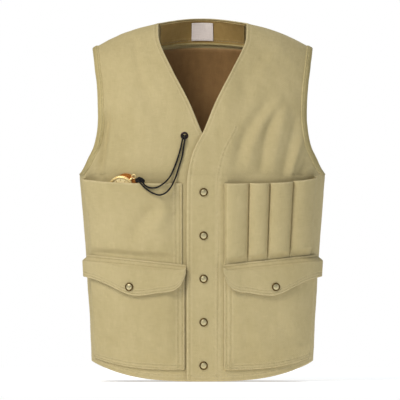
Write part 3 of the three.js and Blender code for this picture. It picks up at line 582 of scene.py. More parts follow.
def stitch_shape():
    """One stitch: a rounded bar of three six-sided rings between two end points, along x."""
    along = np.cos(np.linspace(np.pi * 0.8, np.pi * 0.2, STITCH_RINGS))
    reach = np.sin(np.linspace(np.pi * 0.8, np.pi * 0.2, STITCH_RINGS)) ** 0.6
    turn = 2.0 * np.pi * np.arange(STITCH_SIDES) / STITCH_SIDES
    x = np.repeat(along / along.max() * 0.42, STITCH_SIDES)
    y = (reach[:, None] * np.cos(turn)).ravel()
    z = (reach[:, None] * np.sin(turn)).ravel()
    points = np.stack([x, y, z], axis=-1)
    points = np.concatenate([points, [[-0.5, 0, 0], [0.5, 0, 0]]])
    starts = np.arange(STITCH_RINGS) * STITCH_SIDES
    quads = [ring_quads(low, high, STITCH_SIDES) for low, high in zip(starts, starts[1:])]
    corners = pole_corners(starts[-1], STITCH_RINGS * STITCH_SIDES, STITCH_SIDES)
    return points, np.concatenate(quads), corners


def stitch_run(surface, s, t, sink=0.05):
    """Centres, directions and outward directions of the stitches along one seam line, spaced
    evenly by its length over the cloth."""
    path = skin_points(surface, s, t)
    length = running_length(path, 0)
    count = max(2, int(length[-1] / STITCH_PITCH))
    places = (np.arange(count) + 0.5) / count * length[-1]
    at_s, at_t = np.interp(places, length, s), np.interp(places, length, t)
    centre = skin_points(surface, at_s, at_t, -sink)
    ahead = [np.interp(places + 1.0, length, line) for line in (s, t)]
    behind = [np.interp(places - 1.0, length, line) for line in (s, t)]
    direction = unit(skin_points(surface, *ahead) - skin_points(surface, *behind))
    outward = skin_normal(surface, at_s, at_t)
    outward = unit(outward - direction * np.sum(outward * direction, axis=-1, keepdims=True))
    return centre, direction, outward


def stitches(name, surface, lines, columns, rows):
    """All the stitches of a cloth's seam lines as one mesh. Every stitch is the same bar, put in
    place by its centre, direction and outward direction."""
    runs = []
    for kind, line in lines:
        other = rows if kind == "s" else columns
        held = line(other)
        sewn = ~np.isnan(held)
        held, other = np.clip(held[sewn], 0.0, 1.0), other[sewn]
        runs.append(stitch_run(surface, *((held, other) if kind == "s" else (other, held))))
    centre, direction, outward = (np.concatenate(part) for part in zip(*runs))
    shape, quads, corners = stitch_shape()
    cross = np.cross(direction, outward)
    points = (
        centre[:, None]
        + direction[:, None] * shape[:, 0:1] * STITCH_LENGTH
        + cross[:, None] * shape[:, 1:2] * STITCH_WIDTH
        + outward[:, None] * shape[:, 2:3] * STITCH_HEIGHT
    )
    base = (np.arange(len(centre)) * len(shape))[:, None, None]
    faces = [(quads + base).reshape(-1, 4), (corners + base).reshape(-1, 3)]
    flat = points.reshape(-1, 3)
    faces, _ = face_outwards(flat, faces)
    return build(name, to_metres(flat), faces)


# ---- Turned and tubular pieces ----------------------------------------------------------------


def front_frame(x, z, offset, shift=(0.0, 0.0)):
    """Origin and three directions, across, up and outward, of a place on the front."""
    v = level_of(x, z)
    q = girth_of(np.array(x), v)
    normal = body_normal(q, v, False)
    up = unit(np.array([0.0, 0.0, 1.0]) - normal * normal[2])
    across = np.cross(up, normal)
    origin = offset_point(q, v, False, np.array(float(offset)))
    return origin + across * shift[0] + up * shift[1], np.stack([across, up, normal])


def turned_parts(profile, sides):
    """Points and faces of a profile of (radius, height) turned about the third axis. A profile
    that starts and ends at radius 0 closes on two poles; any other closes on itself."""
    profile = np.array(profile, float)
    poles = profile[0, 0] == 0.0
    ring = profile[1:-1] if poles else profile[:-1]
    turn = 2.0 * np.pi * np.arange(sides) / sides
    x = ring[:, 0:1] * np.cos(turn)
    y = ring[:, 0:1] * np.sin(turn)
    z = np.broadcast_to(ring[:, 1:2], x.shape)
    points = np.stack([x, y, z], axis=-1).reshape(-1, 3)
    rings = len(ring)
    pairs = [(row, (row + 1) % rings) for row in range(rings - 1 if poles else rings)]
    faces = [np.concatenate([ring_quads(low * sides, high * sides, sides) for low, high in pairs])]
    if poles:
        faces.append(pole_corners((rings - 1) * sides, len(points), sides))
        points = np.concatenate([points, [[0, 0, profile[0, 1]], [0, 0, profile[-1, 1]]]])
    return points, faces


def rounded(profile, radius, steps=4):
    """A profile with each of its inner corners rounded by a quadratic curve of the radius."""
    profile = [np.array(p, float) for p in profile]
    out = [profile[0]]
    for before, corner, after in zip(profile[:-2], profile[1:-1], profile[2:]):
        back, ahead = before - corner, after - corner
        reach = min(radius, np.linalg.norm(back) / 2.2, np.linalg.norm(ahead) / 2.2)
        start = corner + back / max(np.linalg.norm(back), 1e-9) * reach
        end = corner + ahead / max(np.linalg.norm(ahead), 1e-9) * reach
        for t in np.linspace(0.0, 1.0, steps):
            out.append((1 - t) ** 2 * start + 2 * t * (1 - t) * corner + t * t * end)
    out.append(profile[-1])
    return np.array(out)


def turned(name, profile, place, sides=48):
    """A turned piece in a place on the vest, with its radius as a value on every point."""
    points, faces = turned_parts(profile, sides)
    radius = np.hypot(points[:, 0], points[:, 1])
    origin, axes = place
    world = origin + points @ axes
    faces, _ = face_outwards(world, faces)
    return build(name, to_metres(world), faces, None, {"radius": radius * MM})


def smooth_route(points, count):
    """A centripetal Catmull-Rom curve through the points, at count evenly spaced places."""
    p = np.array(points, float)
    p = np.concatenate([[2 * p[0] - p[1]], p, [2 * p[-1] - p[-2]]])
    fine = []
    for a, b, c, d in zip(p[:-3], p[1:-2], p[2:-1], p[3:]):
        t0 = 0.0
        t1 = t0 + np.linalg.norm(b - a) ** 0.5
        t2 = t1 + np.linalg.norm(c - b) ** 0.5
        t3 = t2 + np.linalg.norm(d - c) ** 0.5
        t = np.linspace(t1, t2, 25)[:-1, None]
        a1 = (t1 - t) / (t1 - t0) * a + (t - t0) / (t1 - t0) * b
        a2 = (t2 - t) / (t2 - t1) * b + (t - t1) / (t2 - t1) * c
        a3 = (t3 - t) / (t3 - t2) * c + (t - t2) / (t3 - t2) * d
        b1 = (t2 - t) / (t2 - t0) * a1 + (t - t0) / (t2 - t0) * a2
        b2 = (t3 - t) / (t3 - t1) * a2 + (t - t1) / (t3 - t1) * a3
        fine.append((t2 - t) / (t2 - t1) * b1 + (t - t1) / (t2 - t1) * b2)
    fine = np.concatenate([*fine, p[-2:-1]])
    length = running_length(fine, 0)
    places = np.linspace(0.0, length[-1], count)
    return np.stack([np.interp(places, length, fine[:, k]) for k in range(3)], axis=-1)


def carried_frames(path, closed=False):
    """Two directions across each place of a path, carried along it with the least turning."""
    ahead, behind = np.roll(path, -1, axis=0), np.roll(path, 1, axis=0)
    if not closed:
        ahead[-1], behind[0] = path[-1], path[0]
    tangent = unit(ahead - behind)
    start = np.array([0.0, 0.0, 1.0]) if abs(tangent[0, 2]) < 0.9 else np.array([1.0, 0.0, 0.0])
    one = np.empty_like(path)
    current = start
    for i, direction in enumerate(tangent):
        current = current - direction * (current @ direction)
        current = current / np.linalg.norm(current)
        one[i] = current
    return one, np.cross(tangent, one), tangent


def tube_parts(path, radius, sides, braid=0.0, closed=False):
    """A round section carried along a path. braid raises crossing strands in the section: the
    product of two sines that wind in opposite directions."""
    one, two, tangent = carried_frames(path, closed)
    turn = 2.0 * np.pi * np.arange(sides) / sides
    along = running_length(path, 0)[:, None]
    wind = along / (radius * 2.6)
    lumps = 1.0 + braid * np.sin(2 * turn + wind) * np.sin(2 * turn - wind)
    reach = radius * lumps
    points = path[:, None] + (
        one[:, None] * (np.cos(turn) * reach)[..., None]
        + two[:, None] * (np.sin(turn) * reach)[..., None]
    )
    rows = len(path)
    k = np.arange(sides)
    quads, uv = [], []
    for row in range(rows if closed else rows - 1):
        quads.append(ring_quads(row * sides, (row + 1) % rows * sides, sides))
        near, far = along[row, 0], along[min(row + 1, rows - 1), 0]
        edge0, edge1 = k / sides, (k + 1) / sides
        lengths = np.stack([np.full(sides, near)] * 2 + [np.full(sides, far)] * 2, axis=-1)
        round_ = np.stack([edge0, edge1, edge1, edge0], axis=-1)
        uv.append(np.stack([round_ * 2 * np.pi * radius, lengths], axis=-1))
    points = points.reshape(-1, 3)
    faces, uvs = [np.concatenate(quads)], [np.concatenate(uv) * MM]
    if not closed:
        faces.append(pole_corners((rows - 1) * sides, len(points), sides))
        ends = [path[0] - tangent[0] * radius * 0.5, path[-1] + tangent[-1] * radius * 0.5]
        points = np.concatenate([points, ends])
        uvs.append(np.zeros((2 * sides, 3, 2)))
    faces, uvs = face_outwards(points, faces, uvs)
    return points, faces, uvs


def tube(name, path, radius, sides=16, braid=0.0, closed=False):
    points, faces, uvs = tube_parts(path, radius, sides, braid, closed)
    return build(name, to_metres(points), faces, uvs)


def joined(name, parts):
    """Several closed parts, each (points, faces, uvs), as one mesh."""
    points, faces, uvs, base = [], [], [], 0
    for part_points, part_faces, part_uvs in parts:
        points.append(part_points)
        faces.extend(f + base for f in part_faces)
        uvs.extend(part_uvs)
        base += len(part_points)
    return build(name, to_metres(np.concatenate(points)), faces, uvs)


# ---- Material tools ---------------------------------------------------------------------------


def linear(code):
    """A screen colour written as rrggbb, as linear red, green, blue and 1."""
    parts = [int(code[i : i + 2], 16) / 255.0 for i in (0, 2, 4)]
    return (*(c / 12.92 if c <= 0.04045 else ((c + 0.055) / 1.055) ** 2.4 for c in parts), 1.0)


def put(tree, kind, settings=None, **inputs):
    """Adds a node. Each input is a socket to link or a value to set; in_0 means the first one."""
    node = tree.nodes.new("ShaderNode" + kind)
    for key, value in (settings or {}).items():
        setattr(node, key, value)
    for key, value in inputs.items():
        socket = node.inputs[int(key[3:]) if key.startswith("in_") else key.replace("_", " ")]
        if isinstance(value, bpy.types.NodeSocket):
            tree.links.new(value, socket)
        else:
            socket.default_value = value
    return node


def sums(tree, operation, a, b, c=0.0, clamp=False):
    settings = {"operation": operation, "use_clamp": clamp}
    return put(tree, "Math", settings, in_0=a, in_1=b, in_2=c).outputs[0]


def ramp(tree, value, low, high, to_low=0.0, to_high=1.0):
    """Value mapped smoothly from (low, high) to (to_low, to_high)."""
    settings = {"interpolation_type": "SMOOTHSTEP"}
    node = put(tree, "MapRange", settings, in_0=value, in_1=low, in_2=high, in_3=to_low, in_4=to_high)
    return node.outputs[0]


def blended(tree, factor, a, b, kind="MIX"):
    settings = {"data_type": "RGBA", "blend_type": kind}
    return put(tree, "Mix", settings, in_0=factor, in_6=a, in_7=b).outputs[2]


def noise(tree, vector, scale, detail=3.0, roughness=0.55):
    node = put(tree, "TexNoise", None, Vector=vector, Scale=scale, Detail=detail)
    node.inputs["Roughness"].default_value = roughness
    return node.outputs["Fac"]


def stretched(tree, vector, scale):
    return put(tree, "Mapping", None, Vector=vector, Scale=scale).outputs["Vector"]


def new_group(name, takes, gives):
    """A node group with named float or colour inputs and outputs."""
    group = bpy.data.node_groups.new(name, "ShaderNodeTree")
    kinds = {"f": "NodeSocketFloat", "c": "NodeSocketColor", "v": "NodeSocketVector"}
    for socket, kind, value in takes:
        made = group.interface.new_socket(socket, in_out="INPUT", socket_type=kinds[kind])
        if value is not None:
            made.default_value = value
    for socket, kind in gives:
        group.interface.new_socket(socket, in_out="OUTPUT", socket_type=kinds[kind])
    return group, group.nodes.new("NodeGroupInput").outputs, group.nodes.new("NodeGroupOutput").inputs


def make_weave_group():
    """Plain weave: over and under threads as the product of two sines, with slubs, uneven threads
    that run along and across the cloth. Height is about -1 to 1 and Shade is 0 to 1."""
    takes = [("Vector", "v", None), ("Threads", "f", 1800.0), ("Slant", "f", 0.0)]
    group, given, out = new_group("cloth_weave", takes, [("Height", "f"), ("Shade", "f")])
    parts = put(group, "SeparateXYZ", None, Vector=given["Vector"]).outputs
    slanted = sums(group, "MULTIPLY", parts["Y"], given["Slant"])
    across = sums(group, "ADD", parts["X"], slanted)
    warp = sums(group, "SINE", sums(group, "MULTIPLY", across, given["Threads"]), 0.0)
    weft = sums(group, "SINE", sums(group, "MULTIPLY", parts["Y"], given["Threads"]), 0.0)
    crossing = sums(group, "MULTIPLY", warp, weft)
    along = noise(group, stretched(group, given["Vector"], (1500.0, 60.0, 1.0)), 1.0, 2.0)
    over = noise(group, stretched(group, given["Vector"], (60.0, 1500.0, 1.0)), 1.0, 2.0)
    slubs = sums(group, "SUBTRACT", sums(group, "ADD", along, over), 1.0)
    group.links.new(sums(group, "MULTIPLY_ADD", slubs, 1.6, crossing), out["Height"])
    shade = sums(group, "MULTIPLY_ADD", slubs, 1.1, 0.5)
    group.links.new(sums(group, "MULTIPLY_ADD", crossing, 0.12, shade, True), out["Shade"])
    return group


def make_mottle_group():
    """Uneven dye: broad soft blotches and finer ones, with faint upright streaks."""
    takes = [("Vector", "v", None), ("Scale", "f", 9.0)]
    group, given, out = new_group("dye_mottle", takes, [("Factor", "f")])
    broad = noise(group, given["Vector"], given["Scale"], 2.0)
    fine = noise(group, given["Vector"], sums(group, "MULTIPLY", given["Scale"], 9.0), 4.0)
    streaks = noise(group, stretched(group, given["Vector"], (90.0, 90.0, 5.0)), 1.0, 3.0)
    mixed = sums(group, "MULTIPLY_ADD", fine, 0.5, sums(group, "MULTIPLY", broad, 1.2))
    mixed = sums(group, "MULTIPLY_ADD", streaks, 0.45, mixed)
    group.links.new(ramp(group, mixed, 0.62, 1.55), out["Factor"])
    return group


def make_seam_group():
    """What sewing does to cloth, from the distances to the nearest seam line and edge: Groove is
    the pulled-in line of stitching, which the cloth both dents and darkens as painted shade, Worn
    the rubbed edges and ridges beside it, and Pucker the small gathers across it."""
    takes = [("Vector", "v", None), ("Seam", "f", 0.06), ("Edge", "f", 0.06)]
    gives = [("Groove", "f"), ("Worn", "f"), ("Pucker", "f")]
    group, given, out = new_group("seam_finish", takes, gives)
    groove = ramp(group, given["Seam"], 0.0003, 0.0017, 1.0, 0.0)
    group.links.new(groove, out["Groove"])
    rub = ramp(group, noise(group, given["Vector"], 160.0, 3.0), 0.3, 0.7)
    edge = ramp(group, given["Edge"], 0.0004, 0.0032, 1.0, 0.0)
    beside = ramp(group, given["Seam"], 0.0018, 0.0045, 1.0, 0.0)
    ridge = sums(group, "MULTIPLY", beside, sums(group, "SUBTRACT", 1.0, groove))
    worn = sums(group, "MAXIMUM", edge, sums(group, "MULTIPLY", ridge, 0.55))
    share = sums(group, "MULTIPLY_ADD", rub, 0.55, 0.45)
    group.links.new(sums(group, "MULTIPLY", worn, share), out["Worn"])
    gathers = sums(group, "SUBTRACT", noise(group, given["Vector"], 115.0, 2.0), 0.5)
    near = ramp(group, given["Seam"], 0.001, 0.011, 1.0, 0.0)
    group.links.new(sums(group, "MULTIPLY", gathers, near), out["Pucker"])
    return group


def make_patina_group():
    """Handled metal: dark tarnish in broad patches, and fine scratches."""
    takes = [("Vector", "v", None), ("Scale", "f", 300.0)]
    gives = [("Tarnish", "f"), ("Scratch", "f")]
    group, given, out = new_group("metal_patina", takes, gives)
    patches = noise(group, given["Vector"], given["Scale"], 4.0, 0.6)
    group.links.new(ramp(group, patches, 0.42, 0.68), out["Tarnish"])
    lines = noise(group, stretched(group, given["Vector"], (4.0, 4.0, 60.0)), 90.0, 3.0)
    group.links.new(lines, out["Scratch"])
    return group


WEAVE = make_weave_group()
MOTTLE = make_mottle_group()
SEAM = make_seam_group()
PATINA = make_patina_group()


def use_group(tree, group, **inputs):
    node = tree.nodes.new("ShaderNodeGroup")
    node.node_tree = group
    for key, value in inputs.items():
        if isinstance(value, bpy.types.NodeSocket):
            tree.links.new(value, node.inputs[key])
        else:
            node.inputs[key].default_value = value
    return node.outputs


def new_material(name, **fixed):
    """A material with a Principled shader, whose fixed values go straight onto its sockets."""
    material = bpy.data.materials.new(name)
    material.use_nodes = True
    tree = material.node_tree
    shader = tree.nodes["Principled BSDF"]
    for key, value in fixed.items():
        shader.inputs[key.replace("_", " ")].default_value = value
    return material, tree, shader


def raise_surface(tree, shader, height):
    """A height in metres as the shader's normal."""
    bump = put(tree, "Bump", None, Height=height, Distance=1.0, Strength=1.0)
    tree.links.new(bump.outputs["Normal"], shader.inputs["Normal"])


WORN_SHARE = 0.6
# Share by which the stitching groove's colour is darkened as painted shade.
GROOVE_PAINTED_SHADE = 0.22
GROOVE_DEPTH = 0.0003
PUCKER_HEIGHT = 0.0018
WRINKLE_HEIGHT = 0.0011
WRINKLE_SCALE = 42.0
THREAD_LOW = (0.84, 0.83, 0.80, 1.0)
THREAD_HIGH = (1.08, 1.08, 1.08, 1.0)


def cloth_look(name, light, dark, worn, shine=0.9, sheen=0.12, threads=1900.0, slant=0.0, depth=0.00009):
    """Woven cloth: dye between a light and a dark colour, threads, stitched lines with painted
    shade in their grooves, puckers and paler edges."""
    material, tree, shader = new_material(name, Sheen_Weight=sheen, Sheen_Roughness=0.5)
    shader.inputs["Specular IOR Level"].default_value = 0.25
    shader.inputs["Sheen Tint"].default_value = linear(light)
    place = put(tree, "TexCoord").outputs
    seam = put(tree, "Attribute", {"attribute_name": "seam"}).outputs["Fac"]
    edge = put(tree, "Attribute", {"attribute_name": "edge"}).outputs["Fac"]
    weave = use_group(tree, WEAVE, Vector=place["UV"], Threads=threads, Slant=slant)
    mottle = use_group(tree, MOTTLE, Vector=place["Object"])["Factor"]
    sewn = use_group(tree, SEAM, Vector=place["Object"], Seam=seam, Edge=edge)
    dye = blended(tree, mottle, linear(dark), linear(light))
    thread_tone = blended(tree, weave["Shade"], THREAD_LOW, THREAD_HIGH)
    dye = blended(tree, 1.0, dye, thread_tone, "MULTIPLY")
    dye = blended(tree, sums(tree, "MULTIPLY", sewn["Worn"], WORN_SHARE), dye, linear(worn))
    # Painted shade: the colour is darkened towards the dark colour in the stitching groove.
    dye = blended(tree, sums(tree, "MULTIPLY", sewn["Groove"], GROOVE_PAINTED_SHADE), dye, linear(dark), "MULTIPLY")
    tree.links.new(dye, shader.inputs["Base Color"])
    rough = ramp(tree, weave["Shade"], 0.0, 1.0, shine + 0.05, shine - 0.08)
    tree.links.new(rough, shader.inputs["Roughness"])
    wrinkle = sums(tree, "SUBTRACT", noise(tree, place["Object"], WRINKLE_SCALE, 3.0), 0.5)
    height = sums(tree, "MULTIPLY", weave["Height"], depth)
    height = sums(tree, "MULTIPLY_ADD", wrinkle, WRINKLE_HEIGHT, height)
    height = sums(tree, "MULTIPLY_ADD", sewn["Pucker"], PUCKER_HEIGHT, height)
    height = sums(tree, "MULTIPLY_ADD", sewn["Groove"], -GROOVE_DEPTH, height)
    raise_surface(tree, shader, height)
    return material


def thread_look(name, colour, dark):
    """Twisted sewing thread: a fine uneven tone, in colour and roughness."""
    material, tree, shader = new_material(name, Sheen_Weight=0.2)
    place = put(tree, "TexCoord").outputs["Object"]
    tone = ramp(tree, noise(tree, place, 700.0, 2.0), 0.35, 0.65)
    tree.links.new(blended(tree, tone, linear(dark), linear(colour)), shader.inputs["Base Color"])
    tree.links.new(ramp(tree, tone, 0.0, 1.0, 0.8, 0.65), shader.inputs["Roughness"])
    return material


def metal_look(name, light, dark, rough, pale_inside=None, metal=1.0):
    """Metal with tarnish and scratches. pale_inside is (radius, colour) for a lighter middle
    inside that radius, on turned pieces that carry their radius."""
    material, tree, shader = new_material(name, Metallic=metal)
    place = put(tree, "TexCoord").outputs["Object"]
    patina = use_group(tree, PATINA, Vector=place)
    colour = blended(tree, sums(tree, "MULTIPLY", patina["Tarnish"], 0.55), linear(light), linear(dark))
    if pale_inside:
        limit, pale = pale_inside
        radius = put(tree, "Attribute", {"attribute_name": "radius"}).outputs["Fac"]
        inside = ramp(tree, radius, limit - 0.0004, limit + 0.0004, 1.0, 0.0)
        colour = blended(tree, inside, colour, linear(pale))
    tree.links.new(colour, shader.inputs["Base Color"])
    low, high = rough
    tree.links.new(ramp(tree, patina["Scratch"], 0.3, 0.7, low, high), shader.inputs["Roughness"])
    raise_surface(tree, shader, sums(tree, "MULTIPLY", patina["Scratch"], 0.00004))
    return material


def cord_look(name, colour, dark):
    """Braided cord: a slanting pattern of small lumps that follows the cord."""
    material, tree, shader = new_material(name)
    shader.inputs["Specular IOR Level"].default_value = 0.3
    place = put(tree, "TexCoord").outputs
    braid = use_group(tree, WEAVE, Vector=place["UV"], Threads=3600.0, Slant=1.0)
    tone = ramp(tree, noise(tree, place["Object"], 500.0, 2.0), 0.3, 0.7)
    tree.links.new(blended(tree, tone, linear(dark), linear(colour)), shader.inputs["Base Color"])
    tree.links.new(ramp(tree, braid["Shade"], 0.0, 1.0, 0.75, 0.55), shader.inputs["Roughness"])
    raise_surface(tree, shader, sums(tree, "MULTIPLY", braid["Height"], 0.00012))
    return material


CANVAS_LOOK = cloth_look("khaki_canvas", "c0b186", "b4a579", "ccbd94")
BINDING_LOOK = cloth_look("canvas_binding", "bbac7c", "a69768", "cbbd8e", threads=2300.0)
FACING_LOOK = cloth_look("neck_facing_canvas", "b1935b", "987d49", "c2a76e")
PIPING_LOOK = cloth_look("neck_piping_canvas", "b3a473", "9a8a5a", "c2b383")
LINING_LOOK = cloth_look(
    "brown_twill_lining", "997549", "7a5c36", "a68458", 0.62, 0.25, 2600.0, 1.0, 0.00006
)
LABEL_LOOK = cloth_look("satin_label", "fbf1ec", "efe3df", "fdf6f2", 0.55, 0.2, 3000.0, 0.0, 0.00004)
THREAD_LOOK = thread_look("khaki_thread", "cabd92", "a5976a")
LABEL_THREAD_LOOK = thread_look("pale_thread", "f0eae6", "cfc4c0")
SNAP_LOOK = metal_look("antique_snap_metal", "6a5634", "2c200e", (0.30, 0.50), (0.0052, "c6ba92"))
EYELET_LOOK = metal_look("blackened_eyelet_metal", "45383a", "1a1416", (0.25, 0.45))
BRASS_LOOK = metal_look("polished_brass", "ffe8a8", "e6c070", (0.24, 0.40), metal=0.62)
COPPER_LOOK = metal_look("copper_lid", "dc8f48", "a85e28", (0.22, 0.38))
DIAL_LOOK = metal_look("satin_brass_face", "fbe8b2", "ecd290", (0.34, 0.5), metal=0.2)
MARK_LOOK = thread_look("dial_marks", "b08a48", "8a6a34")
CORD_LOOK = cord_look("black_braid", "0c090c", "040304")


# ---- How the cloth hangs ----------------------------------------------------------------------

SNAP_X = 2.0
SNAP_LOW = 28.0
SNAP_PITCH = 79.3
SNAP_COUNT = 5
EYELET_X = -33.0
EYELET_HEIGHT = V_BOTTOM - 6.0
FLAP_SNAP_X = 130.0
FLAP_SNAP_HEIGHT = 172.0
snap_heights = [SNAP_LOW + i * SNAP_PITCH for i in range(SNAP_COUNT)]
FASTENERS = [(SNAP_X, height) for height in snap_heights] + [(EYELET_X, EYELET_HEIGHT)]

# Folds of the fronts: route as (x, height), height of the fold, width.
LEFT_FOLDS = [
    ([(40, 410), (62, 450), (88, 500), (112, 545)], 1.8, (13, 17)),
    ([(58, 382), (72, 440), (98, 485), (128, 520)], -3.0, (9, 10)),
    ([(80, 372), (89, 425), (104, 460), (130, 495), (152, 530)], 3.4, (10, 9)),
    ([(104, 366), (113, 430), (122, 468), (138, 500)], -4.2, (8, 9)),
    ([(126, 372), (136, 430), (145, 470), (158, 520)], 3.0, (10, 10)),
    ([(144, 366), (156, 412), (166, 450), (174, 490)], -3.0, (8, 8)),
    ([(158, 364), (165, 391), (178, 430), (184, 452)], 3.6, (7, 5)),
    ([(176, 372), (188, 394), (194, 408)], -3.0, (6, 8)),
    ([(64, 520), (96, 570), (118, 612)], -1.2, (14, 14)),
    ([(96, 548), (128, 590), (150, 618)], 1.4, (12, 12)),
]
RIGHT_FOLDS = [
    ([(-186, 352), (-188, 384), (-184, 412), (-176, 470), (-172, 520)], -7.5, (6, 7), 0.3),
    ([(-166, 374), (-170, 420), (-162, 470)], 2.4, (11, 11)),
    ([(-127, 645), (-122, 600), (-117, 572), (-104, 530)], -1.6, (7, 8)),
    ([(-60, 470), (-92, 515), (-126, 560)], -1.6, (13, 13)),
    ([(-84, 440), (-118, 490), (-150, 540)], 1.8, (14, 14)),
    ([(-120, 400), (-146, 445), (-168, 500)], -1.6, (10, 12)),
]
LOWER_FOLDS = {
    -1: [
        ([(-190, 60), (-170, 71), (-146, 86)], -1.6, (7, 7)),
        ([(-186, 72), (-164, 84), (-140, 99)], 1.4, (7, 7)),
        ([(-126, 88), (-104, 77), (-84, 66)], -1.3, (8, 8)),
        ([(-70, 110), (-92, 70), (-98, 38)], 1.0, (12, 12)),
    ],
    1: [
        ([(186, 66), (160, 82), (130, 92)], -1.3, (8, 8)),
        ([(70, 120), (96, 84), (112, 48)], 1.3, (13, 13)),
        ([(120, 130), (146, 96), (160, 56)], -1.1, (12, 12)),
    ],
}
CHEST_FOLDS = [
    ([(-136, 250), (-118, 280), (-98, 306), (-76, 330)], -4.6, (13, 15)),
    ([(-92, 268), (-76, 296), (-56, 322)], 3.4, (13, 12)),
    ([(-206, 236), (-130, 231), (-60, 227), (-38, 226)], -3.4, (9, 7)),
    ([(-60, 240), (-52, 280), (-46, 320)], -1.0, (8, 8)),
    ([(-196, 262), (-180, 296), (-166, 322)], 1.2, (12, 12)),
    ([(-52, 344), (-64, 334), (-76, 330)], -0.9, (5, 5)),
]
BACK_FOLDS = [
    ([(-150, 420), (-110, 470), (-60, 505)], 2.2, (14, 14)),
    ([(150, 430), (108, 474), (62, 512)], 2.0, (14, 14)),
    ([(-168, 392), (-130, 430), (-92, 446)], -2.0, (12, 12)),
    ([(170, 388), (132, 428), (90, 450)], -2.0, (12, 12)),
    ([(-60, 40), (-66, 150), (-54, 260)], 2.2, (18, 18)),
    ([(48, 30), (60, 140), (66, 240)], 2.0, (20, 18)),
    ([(-8, 60), (4, 180), (-4, 300)], -2.4, (16, 16)),
    ([(-130, 60), (-124, 160), (-136, 240)], -1.8, (16, 16)),
    ([(126, 80), (132, 170), (120, 260)], -1.8, (16, 16)),
]
CALM_RADIUS = 17.0  # round a fastener the folds die away


def drape(points):
    """Unevenness that every layer of the cloth shares: broad, medium and small waves."""
    broad = 0.9 * waves(points, (90.0, 90.0, 150.0), 11)
    medium = 0.42 * waves(points, (34.0, 34.0, 56.0), 12)
    small = 0.16 * waves(points, (13.0, 13.0, 17.0), 13)
    return broad + medium + small


def body_relief(q, v, side):
    """Folds of the cloth on the body line; side is 0 for the back. Folds fade at the seams and
    round the fasteners, where the cloth is held."""
    back = side == 0
    q, v = np.broadcast_arrays(np.asarray(q, float), np.asarray(v, float))
    points = body_point(q, v, back)
    x, z = points[..., 0], points[..., 2]
    lift = drape(points)
    if back:
        lift = lift + sum(crease(x, z, *fold) for fold in BACK_FOLDS)
        return lift * (0.35 + 0.65 * smooth(0.0, 0.03, 1.0 - v))
    folds = sum(crease(x, z, *fold) for fold in (LEFT_FOLDS if side > 0 else RIGHT_FOLDS))
    held = smooth(0.0, 0.10, 1.0 - np.abs(q)) * smooth(0.0, 0.10, 1.0 - v)
    lift = lift + folds * held * smooth(345.0, 378.0, z)
    for place_x, place_z in FASTENERS:
        distance = np.hypot(x - place_x, z - place_z)
        lift = lift * (1.0 - np.exp(-((distance / CALM_RADIUS) ** 2)))
    return lift * (0.35 + 0.65 * smooth(0.0, 0.03, 1.0 - v))


def panel_rows(low, high):
    """Rows of a panel, close together just above the underarm where the armhole turns in."""
    below = np.linspace(0.0, UNDERARM_LEVEL, low, endpoint=False)
    above = UNDERARM_LEVEL + (1.0 - UNDERARM_LEVEL) * np.linspace(0.0, 1.0, high) ** 1.35
    return np.concatenate([below, above])


def front_surface(side, lift=0.0, first=0.0, margin=0.0):
    """A front from its inner edge, s = 0, to the armhole or side seam, s = 1."""

    def surface(s, t):
        inner = front_girth(t, side)
        outer = side * armhole_girth(t, False, margin)
        q = lerp(lerp(inner, outer, first), outer, s)
        x = half_width(t) * section_x(q)
        return q, t, False, lift + lap_lift(x, side) + body_relief(q, t, side)

    return surface


def back_surface(lift=0.0, margin=0.0, top=1.0):
    """The back from the right armhole or side seam, s = 0, to the left, s = 1."""

    def surface(s, t):
        v = t * top
        q = (2.0 * s - 1.0) * armhole_girth(v, True, margin)
        return q, v, True, lift + body_relief(q, v, 0)

    return surface


def column_line(side, girth, low=0.0, high=1.0):
    """A seam line of a front where its girth is a function of level, between two levels."""

    def line(t):
        inner = front_girth(t, side)
        outer = side * armhole_girth(t, False)
        s = (girth(t) - inner) / (outer - inner)
        return np.where((t < low) | (t > high), np.nan, s)

    return line


def margin_line(side, margin):
    """A seam line of a front that keeps a margin from its inner edge."""
    return column_line(side, lambda t: front_girth(t, side, margin))


# ---- Giving pieces their look and body --------------------------------------------------------

FRONT_BODY = {-1: "right_front", 1: "left_front"}
WORD = {-1: "right", 1: "left"}
SWING_START = (0.0, 0.0, -0.05)
SWING_END = (0.0, 0.0, -0.19)


def finish(piece, look, slot, nodes=(), body=None, bend=None):
    """Gives the piece its look, hides the CAD nodes it stands for, and hangs it on the body it
    rides; a piece given a bend is baked in place and rides no body. slot is not used."""
    piece.data.materials.append(look)
    if nodes:
        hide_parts(*nodes)
    if bend:
        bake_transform(piece)
    else:
        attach(piece, body)
    return piece


def swing(side):
    """A front hangs from the back at the shoulder; this gives the back and the front's own body
    below it, with two points, as a bend, which finish only bakes in place.
    """
    return ("vest_back", FRONT_BODY[side], SWING_START, SWING_END)


def declare_cloth(piece):
    """Gives the piece back unchanged. Its flat size as it was cut, its longest row and column and
    its own area, is already stored on it by sewn_cloth.
    """
    return piece


def sew_on(name, surface, grid, lines, ride, slot="canvas", look=THREAD_LOOK):
    """The thread of a cloth's seam lines, riding as its cloth does."""
    return finish(stitches(name, surface, lines, *grid), look, slot, **ride)


# ---- Cords ------------------------------------------------------------------------------------

